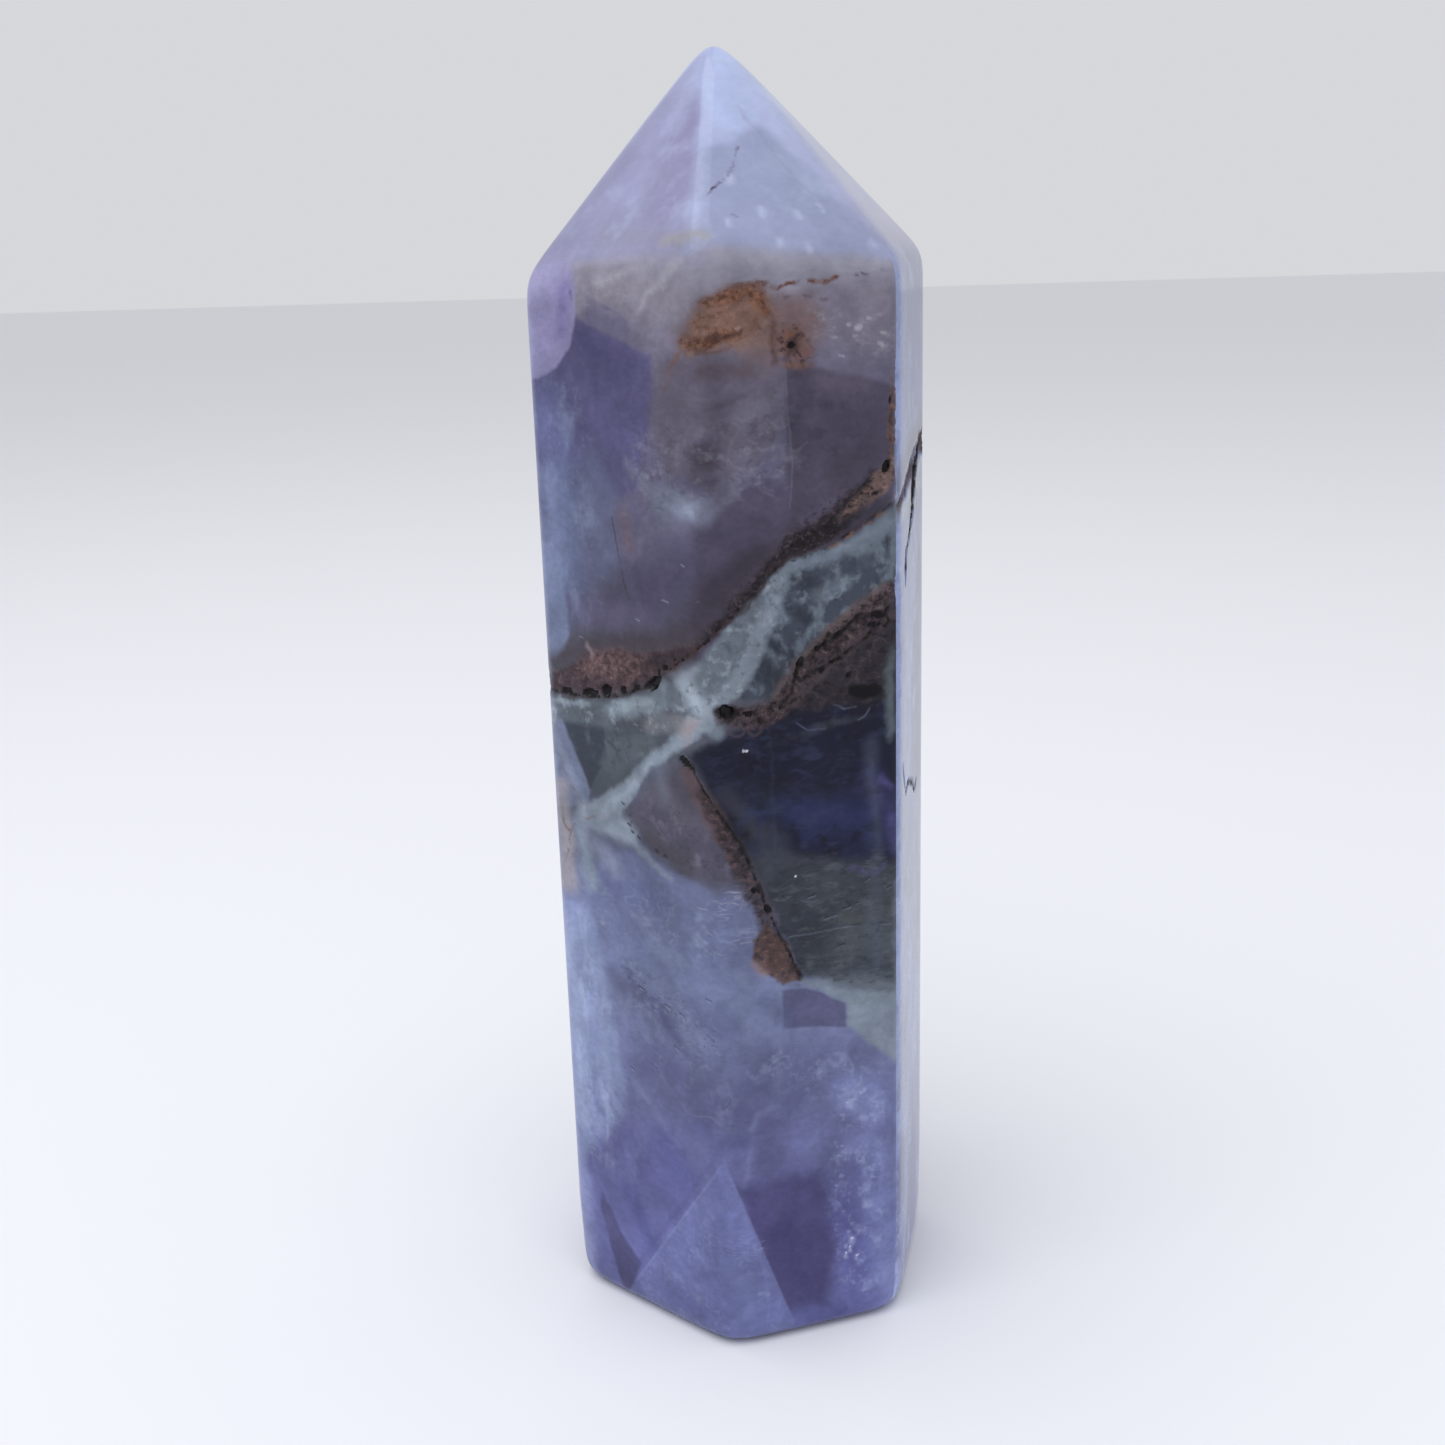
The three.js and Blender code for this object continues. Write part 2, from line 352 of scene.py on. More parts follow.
ZIGZAG_CRACK = (
    (15, 42, 0.1), (15.8, 40.6, 0.1), (16.6, 39.5, 0.15), (18, 39.8, 0.2), (20.4, 39.1, 0.2),
    (21.8, 37.9, 0.12), (22.8, 38.5, 0.1),
)
THIN_SEAM_BEHIND = thin(0.1, (36, 57), (38, 50), (41.5, 44.5), (43, 38.5), (47, 31))
# Each route with the softness of its rims and the depth of its crumbs.
ROUGH_SEAMS = (
    (LEFT_SEAM, 0.3, 0.12), (LEFT_LINING, 0.2, 0.3), (VEIN_RIM, 0.2, 0.2), (DARK_GROWTH, 0.3, 0.12),
    (RUSTY_EDGE, 0.25, 0.12), (BROWN_BAND, 0.3, 0.16), (UPPER_CREVICE, 0.15, 0.35),
    (LOWER_CREVICE, 0.15, 0.3), (RED_SEAM, 0.12, 0.25), (RED_HALO, 0.3, 0.1), (RUST_STAIN, 0.4, 0.06),
    (SEAM_BEHIND, 0.3, 0.16), (THIN_SEAM_BEHIND, 0.15, 0.25), (END_CREVICE, 0.2, 0.45),
    (ZIGZAG_CRACK, 0.15, 0.25),
)

# The pits in the seams: the place of each one's middle, its length, its height, and how many
# degrees it leans. Each one is about as deep as six tenths of its height.
PITS = (
    (-13.03, 47.2, 1, 0.5, 0), (-10.83, 47.4, 1.3, 0.65, 8), (-9.23, 47.8, 1, 0.8, 20),
    (-7.73, 48.1, 0.6, 0.5, 60), (-6.43, 48.4, 0.7, 0.45, 20), (-4.93, 48.9, 1.5, 0.8, 35),
    (-4.4, 49.7, 0.7, 0.35, 80), (-3.83, 50.1, 0.6, 0.4, 20), (-3, 50.8, 0.4, 0.3, 40),
    (-14.3, 47.1, 0.5, 0.3, 0), (-12, 47.1, 0.4, 0.25, 0), (-2.33, 43.9, 1.2, 0.5, -30),
    (0.8, 53.1, 0.35, 0.25, 30), (1.5, 53.75, 0.35, 0.25, 40), (2.05, 54.25, 0.3, 0.25, 40),
    (5.9, 57.05, 0.4, 0.25, 0), (6.6, 57.15, 0.3, 0.2, 0), (4.2, 56.2, 0.3, 0.25, 60),
    (1.1, 47.6, 1.1, 0.8, -40), (2.6, 47.3, 0.6, 0.45, 0), (6.2, 50.3, 0.8, 0.5, 70),
    (7.4, 51.2, 0.5, 0.4, 30), (7.7, 49.7, 0.45, 0.35, 20), (9.5, 49.15, 0.4, 0.3, 0),
    (11.2, 52.4, 0.7, 0.35, 10), (11.7, 53, 1.1, 0.45, -10), (9.6, 52.5, 0.5, 0.3, 40),
    (3.6, 33.6, 0.7, 0.45, -50), (2.65, 35.1, 0.5, 0.35, -60), (1.9, 38.1, 0.5, 0.3, -60),
    (0.6, 40.3, 0.4, 0.25, -50), (12.3, 62.6, 0.8, 0.6, 80), (11.5, 60.9, 0.6, 0.3, 20),
    (12.6, 66.8, 0.6, 0.3, 90), (6, 70.4, 0.6, 0.4, 20), (16.33, 60.3, 1.2, 0.5, 15),
    (18.73, 61.7, 0.8, 0.5, 40), (31.75, 62.3, 0.9, 0.6, -20), (36.75, 60.2, 1.1, 0.5, -10),
    (45.1, 57, 0.8, 0.5, 10), (49.4, 53.96, 1.3, 0.6, 30), (60.35, 49.4, 0.8, 0.5, 5),
    (65.95, 47.4, 1, 0.5, 20), (24, 62.4, 0.6, 0.4, 10), (53, 51.6, 0.7, 0.4, -20),
    (57.6, 49.5, 0.6, 0.4, 0), (39.2, 48, 0.5, 0.3, -60),
)
PIT_DEPTH_OF_HEIGHT = 0.6
# A pit's rim wanders by noise of this grain and strength. It lies this far out, in half sizes of
# the pit, and is this wide.
PIT_GRAIN = 0.35
PIT_UNEVENNESS = 0.35
PIT_REACH = 1.2
PIT_RIM = 0.5
# The crumbs of the seams, coarse and fine: the grain of each, and how much it counts.
COARSE_CRUMB = 0.55
COARSE_SHARE = 0.9
FINE_CRUMB = 0.2
FINE_SHARE = 0.6


def smooth(share):
    """A share held between 0 and 1 and eased at both ends."""
    held = np.clip(share, 0, 1)
    return held * held * (3 - 2 * held)


def reach(places, route, softness):
    """How much of the wear along a seam reaches places: 1 within its half width and 0 outside."""
    most = np.zeros(len(places))
    for start, end in zip(route, route[1:]):
        from_place, to_place = np.array(start[:2]), np.array(end[:2])
        span = to_place - from_place
        share = np.clip((places - from_place) @ span / (span @ span), 0, 1)
        away = np.linalg.norm(places - from_place - share[:, None] * span, axis=1)
        width = start[2] + share * (end[2] - start[2])
        most = np.maximum(most, smooth((width + softness - away) / (2 * softness)))
    return most


def noises(points, grain):
    """Noise from about -1 to 1 at points, with its grain in millimetres."""
    return np.array([noise.noise(Vector(point) / grain) for point in points])


def wear_depths(places, points):
    """How deep the wear goes at places on the surface, and at the same places as points in space."""
    crumbs = 0.5 + COARSE_SHARE * noises(points, COARSE_CRUMB) + FINE_SHARE * noises(points, FINE_CRUMB)
    crumbs = np.clip(crumbs, 0, 1)
    depths = np.zeros(len(places))
    for route, softness, depth in ROUGH_SEAMS:
        depths = np.maximum(depths, depth * crumbs * reach(places, route, softness))
    uneven = PIT_UNEVENNESS * noises(points, PIT_GRAIN)
    for around, up, length, height, lean in PITS:
        turn = math.radians(lean)
        offset = places - (around, up)
        along = offset @ (math.cos(turn), math.sin(turn)) / (length / 2)
        across = offset @ (-math.sin(turn), math.cos(turn)) / (height / 2)
        inside = smooth((PIT_REACH - np.hypot(along, across) - uneven) / PIT_RIM)
        depths = np.maximum(depths, PIT_DEPTH_OF_HEIGHT * height * inside)
    return depths


# The material. The stone is painted from the inside out: growth bands up the stone first, then
# clouds and flat-sided growth blocks of other colours, with veins, seams and cracks over them.
# A place is so far round to the right of the near edge and so high, both in millimetres.

# How far uneven growth moves a mark at most.
LARGEST_SHIFT = 1.0
# A distance into a growth block that every flat side of it overrules.
FAR_INSIDE = -1e3
# The half width of a thin crack, and the softness of its rims.
HAIRLINE = 0.08
# The roughness of the polished quartz, and of the crumbly iron that takes no polish.
POLISHED = 0.08
MATTE = 0.6


def add(tree, kind, inputs=None, **settings):
    """Adds a node with its settings, and fills or links its inputs, given by name or number."""
    made = tree.nodes.new(kind)
    for name, value in settings.items():
        setattr(made, name, value)
    for name, value in (inputs or {}).items():
        if isinstance(value, bpy.types.NodeSocket):
            tree.links.new(value, made.inputs[name])
        else:
            made.inputs[name].default_value = value
    return made


SOCKET_KINDS = {"Point": "Vector", "From": "Vector", "To": "Vector", "Facing": "Vector", "Color": "Color"}


def group(name, inputs, output):
    """A node group with its sockets: the tree, and the input sockets to fill it with."""
    tree = bpy.data.node_groups.new(name, "ShaderNodeTree")
    for socket in inputs.split(", "):
        kind = SOCKET_KINDS.get(socket, "Float")
        tree.interface.new_socket(socket, in_out="INPUT", socket_type=f"NodeSocket{kind}")
    kind = SOCKET_KINDS.get(output, "Float")
    tree.interface.new_socket(output, in_out="OUTPUT", socket_type=f"NodeSocket{kind}")
    return tree, add(tree, "NodeGroupInput").outputs


def streak_group():
    """A rounded streak from one point to another: 1 inside it and 0 outside."""
    tree, given = group("streak", "Point, From, To, From Radius, To Radius, Softness", "Mask")
    pair = {0: given["Point"], 1: given["From"]}
    offset = add(tree, "ShaderNodeVectorMath", pair, operation="SUBTRACT").outputs[0]
    pair = {0: given["To"], 1: given["From"]}
    span = add(tree, "ShaderNodeVectorMath", pair, operation="SUBTRACT").outputs[0]
    along = add(tree, "ShaderNodeVectorMath", {0: offset, 1: span}, operation="DOT_PRODUCT").outputs["Value"]
    whole = add(tree, "ShaderNodeVectorMath", {0: span, 1: span}, operation="DOT_PRODUCT").outputs["Value"]
    share = add(tree, "ShaderNodeMath", {0: along, 1: whole}, operation="DIVIDE").outputs[0]
    share = add(tree, "ShaderNodeMath", {0: share, 1: 0.0}, operation="MAXIMUM").outputs[0]
    share = add(tree, "ShaderNodeMath", {0: share, 1: 1.0}, operation="MINIMUM").outputs[0]
    reached = add(tree, "ShaderNodeVectorMath", {0: span, "Scale": share}, operation="SCALE").outputs[0]
    away = add(tree, "ShaderNodeVectorMath", {0: offset, 1: reached}, operation="DISTANCE").outputs["Value"]
    ends = {"Value": share, "To Min": given["From Radius"], "To Max": given["To Radius"]}
    radius = add(tree, "ShaderNodeMapRange", ends, clamp=False).outputs[0]
    outer = add(tree, "ShaderNodeMath", {0: radius, 1: given["Softness"]}, operation="ADD").outputs[0]
    inner = add(tree, "ShaderNodeMath", {0: radius, 1: given["Softness"]}, operation="SUBTRACT").outputs[0]
    rim = {"Value": away, "From Min": outer, "From Max": inner}
    mask = add(tree, "ShaderNodeMapRange", rim, interpolation_type="SMOOTHSTEP").outputs[0]
    add(tree, "NodeGroupOutput", {"Mask": mask})
    return tree


def side_group():
    """The larger of a distance so far and the distance outside one more flat side."""
    tree, given = group("flat side of a growth block", "Point, Facing, Offset, So Far", "Distance")
    pair = {0: given["Point"], 1: given["Facing"]}
    height = add(tree, "ShaderNodeVectorMath", pair, operation="DOT_PRODUCT").outputs["Value"]
    outside = add(tree, "ShaderNodeMath", {0: height, 1: given["Offset"]}, operation="SUBTRACT").outputs[0]
    larger = add(tree, "ShaderNodeMath", {0: outside, 1: given["So Far"]}, operation="MAXIMUM").outputs[0]
    add(tree, "NodeGroupOutput", {"Distance": larger})
    return tree


def shift_group():
    """A point moved about by noise, with the noise's grain and the largest shift in millimetres."""
    tree, given = group("uneven growth", "Point, Grain, Shift", "Point")
    scale = add(tree, "ShaderNodeMath", {0: 1.0, 1: given["Grain"]}, operation="DIVIDE").outputs[0]
    settings = {"Vector": given["Point"], "Scale": scale, "Detail": 3.0, "Roughness": 0.55}
    grain = add(tree, "ShaderNodeTexNoise", settings).outputs["Color"]
    pair = {0: grain, 1: (0.5, 0.5, 0.5)}
    centred = add(tree, "ShaderNodeVectorMath", pair, operation="SUBTRACT").outputs[0]
    twice = add(tree, "ShaderNodeMath", {0: given["Shift"], 1: 2.0}, operation="MULTIPLY").outputs[0]
    shift = add(tree, "ShaderNodeVectorMath", {0: centred, "Scale": twice}, operation="SCALE").outputs[0]
    pair = {0: given["Point"], 1: shift}
    moved = add(tree, "ShaderNodeVectorMath", pair, operation="ADD").outputs[0]
    add(tree, "NodeGroupOutput", {"Point": moved})
    return tree


def drawn_noise(tree, given, detail, roughness):
    """Noise from 0 to 1 with its grain in millimetres, drawn out around the stone by a stretch."""
    parts = add(tree, "ShaderNodeSeparateXYZ", {0: given["Point"]}).outputs
    tall = add(tree, "ShaderNodeMath", {0: parts["Z"], 1: given["Stretch"]}, operation="MULTIPLY").outputs[0]
    drawn = add(tree, "ShaderNodeCombineXYZ", {"X": parts["X"], "Y": parts["Y"], "Z": tall}).outputs[0]
    scale = add(tree, "ShaderNodeMath", {0: 1.0, 1: given["Grain"]}, operation="DIVIDE").outputs[0]
    settings = {"Vector": drawn, "Scale": scale, "Detail": detail, "Roughness": roughness}
    return add(tree, "ShaderNodeTexNoise", settings).outputs["Fac"]


def grain_group():
    """Noise between two of its values: 0 below the lowest and 1 above the highest."""
    tree, given = group("grain", "Point, Grain, Stretch, Lowest, Highest", "Mask")
    value = drawn_noise(tree, given, 3.0, 0.6)
    limits = {"Value": value, "From Min": given["Lowest"], "From Max": given["Highest"]}
    mask = add(tree, "ShaderNodeMapRange", limits, interpolation_type="SMOOTHSTEP").outputs[0]
    add(tree, "NodeGroupOutput", {"Mask": mask})
    return tree


def thread_group():
    """Thin curved threads, where noise passes through its middle: 1 on a thread and 0 off it."""
    tree, given = group("threads", "Point, Grain, Stretch, Width", "Mask")
    value = drawn_noise(tree, given, 1.0, 0.4)
    off = add(tree, "ShaderNodeMath", {0: value, 1: 0.5}, operation="SUBTRACT").outputs[0]
    away = add(tree, "ShaderNodeMath", {0: off}, operation="ABSOLUTE").outputs[0]
    limits = {"Value": away, "From Min": given["Width"], "From Max": 0.0}
    mask = add(tree, "ShaderNodeMapRange", limits, interpolation_type="SMOOTHSTEP").outputs[0]
    add(tree, "NodeGroupOutput", {"Mask": mask})
    return tree


def speck_group():
    """Round specks in some of the cells of a grain: 1 inside a speck and 0 outside."""
    tree, given = group("specks", "Point, Grain, Radius, Share", "Mask")
    scale = add(tree, "ShaderNodeMath", {0: 1.0, 1: given["Grain"]}, operation="DIVIDE").outputs[0]
    cells = add(tree, "ShaderNodeTexVoronoi", {"Vector": given["Point"], "Scale": scale})
    rim = {"Value": cells.outputs["Distance"], "From Min": given["Radius"], "From Max": 0.0}
    spot = add(tree, "ShaderNodeMapRange", rim, interpolation_type="SMOOTHSTEP").outputs[0]
    draw = add(tree, "ShaderNodeSeparateXYZ", {0: cells.outputs["Color"]}).outputs["X"]
    drawn = add(tree, "ShaderNodeMath", {0: draw, 1: given["Share"]}, operation="LESS_THAN").outputs[0]
    mask = add(tree, "ShaderNodeMath", {0: spot, 1: drawn}, operation="MULTIPLY").outputs[0]
    add(tree, "NodeGroupOutput", {"Mask": mask})
    return tree


def multiply_group():
    """A colour made lighter or darker by a mask."""
    tree, given = group("lighter or darker", "Color, Mask, Strength", "Color")
    least = add(tree, "ShaderNodeMath", {0: 1.0, 1: given["Strength"]}, operation="SUBTRACT").outputs[0]
    most = add(tree, "ShaderNodeMath", {0: 1.0, 1: given["Strength"]}, operation="ADD").outputs[0]
    limits = {"Value": given["Mask"], "To Min": least, "To Max": most}
    gain = add(tree, "ShaderNodeMapRange", limits, clamp=False).outputs[0]
    pair = {0: given["Color"], "Scale": gain}
    scaled = add(tree, "ShaderNodeVectorMath", pair, operation="SCALE").outputs[0]
    add(tree, "NodeGroupOutput", {"Color": scaled})
    return tree


GROUPS = {
    "streak": streak_group(),
    "side": side_group(),
    "shift": shift_group(),
    "grain": grain_group(),
    "threads": thread_group(),
    "specks": speck_group(),
    "multiply": multiply_group(),
}


class Painting:
    """The colour of one zone of the stone as it is built up, layer over layer."""

    def __init__(self, tree, zone):
        self.tree = tree
        self.faces, self.lowest, self.highest = zone
        coordinates = add(tree, "ShaderNodeTexCoord").outputs["Object"]
        millimetres = {0: coordinates, "Scale": 1 / MM}
        self.point = add(tree, "ShaderNodeVectorMath", millimetres, operation="SCALE").outputs[0]
        self.cloudy = self.use("shift", {"Point": self.point, "Grain": 5.0, "Shift": LARGEST_SHIFT})
        self.ragged = self.use("shift", {"Point": self.point, "Grain": 1.5, "Shift": 0.45})
        bent = self.use("shift", {"Point": self.point, "Grain": 3.0, "Shift": 0.22})
        self.crisp = self.use("shift", {"Point": bent, "Grain": 0.5, "Shift": 0.09})
        self.colour = None
        self.matte = None

    def use(self, name, inputs):
        """Puts one of the groups to use, and gives its output."""
        return add(self.tree, "ShaderNodeGroup", inputs, node_tree=GROUPS[name]).outputs[0]

    def reaches(self, places, margin):
        """Whether what lies round some places comes within a margin of this zone."""
        ups = [up for _, up, *_ in places]
        if min(ups) - margin > self.highest or max(ups) + margin < self.lowest:
            return False
        start = sum(FACE_WIDTHS[: self.faces[0]])
        end = start + sum(FACE_WIDTHS[face] for face in self.faces)
        first = min(around for around, *_ in places) - margin
        last = max(around for around, *_ in places) + margin
        return any(first + turn < end and last + turn > start for turn in (-GIRTH, 0, GIRTH))

    def both(self, one, other):
        """The mask where two masks are both 1, or None where one of them isn't in this zone."""
        if one is None or other is None:
            return None
        return add(self.tree, "ShaderNodeMath", {0: one, 1: other}, operation="MULTIPLY").outputs[0]

    def either(self, one, other):
        """The larger of two masks, or the one that is in this zone."""
        if one is None:
            return other
        if other is None:
            return one
        return add(self.tree, "ShaderNodeMath", {0: one, 1: other}, operation="MAXIMUM").outputs[0]

    def lay(self, mask, colour, shows):
        """Lays a colour over the others where the mask is 1."""
        if mask is None:
            return
        layers = {0: self.both(mask, shows), 6: self.colour, 7: srgb(colour)}
        self.colour = add(self.tree, "ShaderNodeMix", layers, data_type="RGBA").outputs[2]

    def streak_mask(self, point, start, end, start_radius, end_radius, softness):
        """The mask of one streak between two places on the stone."""
        if not self.reaches((start, end), max(start_radius, end_radius) + softness + LARGEST_SHIFT):
            return None
        inputs = {
            "Point": point,
            "From": place(*start),
            "To": place(*end),
            "From Radius": start_radius,
            "To Radius": end_radius,
            "Softness": softness,
        }
        return self.use("streak", inputs)

    def vein_mask(self, point, route, softness):
        """The mask of a vein through places, each with the vein's half width there."""
        mask = None
        for (around, up, width), (next_around, next_up, next_width) in zip(route, route[1:]):
            part = self.streak_mask(point, (around, up), (next_around, next_up), width, next_width, softness)
            mask = self.either(mask, part)
        return mask

    def block_mask(self, point, outline, softness, depth):
        """The mask of a growth block with flat sides, outlined counterclockwise on the surface."""
        if not self.reaches(outline, depth + softness + LARGEST_SHIFT):
            return None
        corners = [place(*spot) for spot in outline]
        facing = Vector()
        for corner, following in zip(corners, corners[1:] + corners[:1]):
            facing += corner.cross(following)
        facing.normalize()
        sides = [
            ((following - corner).cross(facing).normalized(), corner)
            for corner, following in zip(corners, corners[1:] + corners[:1])
        ]
        deepest = min(corner.dot(facing) for corner in corners) - depth
        distance = FAR_INSIDE
        for normal, through in (*sides, (-facing, facing * deepest)):
            inputs = {"Point": point, "Facing": normal, "Offset": normal.dot(through), "So Far": distance}
            distance = self.use("side", inputs)
        rim = {"Value": distance, "From Min": softness, "From Max": -softness}
        return add(self.tree, "ShaderNodeMapRange", rim, interpolation_type="SMOOTHSTEP").outputs[0]

    def region(self, start, end, start_radius, end_radius, softness):
        """The mask of a soft region from one place to another, for finer marks within it."""
        return self.streak_mask(self.cloudy, start, end, start_radius, end_radius, softness)

    def cloud(self, colour, start, end, radius, softness, shows=0.8):
        """A soft cloud near the surface, from one place to another."""
        self.lay(self.region(start, end, radius, radius, softness), colour, shows)

    def spot(self, colour, start, end, radius, softness, shows=0.8):
        """A small spot with an uneven rim, from one place to another."""
        self.lay(self.streak_mask(self.ragged, start, end, radius, radius, softness), colour, shows)

    def vein(self, colour, route, softness=0.3, shows=0.9):
        """Lays a vein with ragged rims, and gives its mask."""
        mask = self.vein_mask(self.ragged, route, softness)
        self.lay(mask, colour, shows)
        return mask

    def crack(self, colour, places, width=HAIRLINE, shows=0.8):
        """A thin line through places."""
        self.lay(self.vein_mask(self.crisp, thin(width, *places), HAIRLINE), colour, shows)

    def rust_line(self, colour, places, width=HAIRLINE, shows=0.85):
        """A line of rust through places, uneven and broken here and there."""
        mask = self.vein_mask(self.ragged, thin(width, *places), softness=0.12)
        self.grained(mask, self.point, colour, 0.8, shows, stretch=1.0, lowest=0.4, highest=0.55)

    def block(self, colour, outline, softness=0.3, shows=0.85, depth=4.0, ragged=False):
        """Lays a growth block with flat sides, and gives its mask."""
        mask = self.block_mask(self.ragged if ragged else self.crisp, outline, softness, depth)
        self.lay(mask, colour, shows)
        return mask

    def grained(self, mask, point, colour, grain, shows, stretch, lowest, highest):
        """A colour within a mask, where noise between two of its values shows it."""
        if mask is not None:
            limits = {
                "Point": point, "Grain": grain, "Stretch": stretch, "Lowest": lowest, "Highest": highest
            }
            self.lay(self.both(mask, self.use("grain", limits)), colour, shows)

    def crumble(self, mask, dark, light, grain=0.5, shows=0.75):
        """Dark hollows and light crumbs within a mask, and no polish."""
        self.matte = self.either(self.matte, mask)
        self.grained(mask, self.ragged, light, grain, shows, stretch=1.4, lowest=0.45, highest=0.36)
        self.grained(mask, self.ragged, dark, grain, shows, stretch=1.4, lowest=0.53, highest=0.62)

    def wisps(self, mask, colour, grain, stretch, shows, lowest=0.5, highest=0.72):
        """Milky wisps within a mask, drawn out around the stone by a stretch."""
        self.grained(mask, self.crisp, colour, grain, shows, stretch, lowest, highest)

    def patches(self, mask, grain, lowest):
        """Broad patches within a mask, for finer marks in them."""
        limits = {"Point": self.point, "Grain": grain, "Stretch": 1.0, "Lowest": lowest, "Highest": 0.62}
        return self.both(mask, self.use("grain", limits))

    def threads(self, mask, colour, grain, stretch, width, shows):
        """Thin curved threads in patches of a mask, such as the rims of healed cracks."""
        spread, patch_size, faintness = 2.5, 1.5, 0.5
        if mask is not None:
            inputs = {"Point": self.crisp, "Grain": grain, "Stretch": stretch, "Width": width * spread}
            patches = self.patches(mask, grain * patch_size, lowest=0.45)
            self.lay(self.both(patches, self.use("threads", inputs)), colour, shows * faintness)

    def frost(self, mask, colour, grain, shows):
        """Patches of fine frosty dots within a mask."""
        patch_size = 6
        if mask is not None:
            patches = self.patches(mask, grain * patch_size, lowest=0.46)
            self.grained(patches, self.point, colour, grain, shows, stretch=1.0, lowest=0.46, highest=0.74)

    def specks(self, mask, colour, grain, radius, share, shows):
        """Small round specks within a mask."""
        if mask is not None:
            inputs = {"Point": self.ragged, "Grain": grain, "Radius": radius, "Share": share}
            self.lay(self.both(mask, self.use("specks", inputs)), colour, shows)


# Growth bands up the middle of the stone: height and colour. The pale bluish ones at the top are partly
# painted reflection of the light from above on the tip.
BANDS = (
    (0.0, "66699e"), (8.0, "64669a"), (14.0, "646692"), (20.0, "6a6e96"), (26.0, "707899"), (32.0, "70789a"),
    (38.0, "52566a"), (44.0, "4c505c"), (50.0, "484852"), (54.0, "4b485b"), (60.0, "5a5870"),
    (68.0, "5e5b70"), (71.5, "746f7f"), (75.0, "8a8896"), (78.0, "9fa1bf"), (89.0, "b4c0e2"),
)
TOWER_TOP = BANDS[-1][0]


def growth_bands(paint):
    """The bands of colour that the crystal grew in, up the stone."""
    up = {0: paint.cloudy, 1: (0, 0, 1 / TOWER_TOP)}
    share = add(paint.tree, "ShaderNodeVectorMath", up, operation="DOT_PRODUCT").outputs["Value"]
    bands = add(paint.tree, "ShaderNodeValToRGB", {"Fac": share})
    ramp = bands.color_ramp
    while len(ramp.elements) < len(BANDS):
        ramp.elements.new(1.0)
    for element, (height, colour) in zip(ramp.elements, BANDS):
        element.position = height / TOWER_TOP
        element.color = srgb(colour)
    paint.colour = bands.outputs["Color"]
    paint.share_up = share


def mottling(paint):
    """Light and dark mottling of the growth, in three sizes of grain, that fades out at the tip."""
    fading_from, gone_at, kept = 73 / TOWER_TOP, 77.5 / TOWER_TOP, 0.35
    for size, stretch, strength in ((8.0, 1.0, 0.16), (2.4, 0.8, 0.12), (0.6, 1.6, 0.07)):
        fade = {
            "Value": paint.share_up,
            "From Min": fading_from,
            "From Max": gone_at,
            "To Min": strength,
            "To Max": strength * kept,
        }
        faded = add(paint.tree, "ShaderNodeMapRange", fade, interpolation_type="SMOOTHSTEP").outputs[0]
        limits = {"Point": paint.ragged, "Grain": size, "Stretch": stretch, "Lowest": 0.3, "Highest": 0.7}
        mask = paint.use("grain", limits)
        paint.colour = paint.use("multiply", {"Color": paint.colour, "Mask": mask, "Strength": faded})


def left_corner(paint):
    """The pale lavender growth at the left shoulder, with a purple rim, over a violet block."""
    violet = ((-16, 59), (-5.5, 61.5), (-3.7, 67.5), (-3.9, 70.1), (-10.2, 72.3), (-16, 72.3))
    paint.block("524f72", violet, 0.3, 0.95)
    paint.cloud("48456a", (-9.5, 70.8), (-6.5, 69.6), 0.8, 0.9, 0.6)
    paint.cloud("57547a", (-8.5, 66.6), (-6.5, 65), 1.2, 1.2, 0.6)
    paint.block("676275", ((-4.2, 70), (-3.6, 70.8), (-9.6, 73), (-10.1, 72.2)), 0.35, 0.7)
    paint.cloud("5e5e88", (-13.4, 67), (-12.4, 64), 1.2, 1.2)
    paint.block("64607a", ((-9.4, 71.9), (-5.7, 70.9), (-5.6, 72), (-8.2, 73.3), (-9.3, 73.6)), 0.16, 0.75)
    corner = (
        (-16, 68), (-14.2, 68.3), (-12.2, 69.2), (-10.9, 70.5), (-10.3, 72.2), (-10.2, 74.3), (-11.5, 77),
        (-16, 77),
    )
    paint.block("8884a8", corner, 0.16, 0.95)
    paint.cloud("9a97b8", (-14.6, 74.6), (-13, 75.4), 0.9, 0.9)
    paint.spot("746c9c", (-11.2, 74), (-11.7, 71.2), 0.35, 0.6)
    paint.spot("8c86ac", (-13.4, 71.5), (-13, 70.4), 0.5, 0.8, 0.6)
    paint.spot("4f4f7c", (-10.6, 73.7), (-10.5, 73.4), 0.12, 0.2, 0.9)
    paint.crack("6a5f6c", ((-12.4, 76), (-11.4, 75.5), (-10.6, 75.6)), 0.06, 0.6)


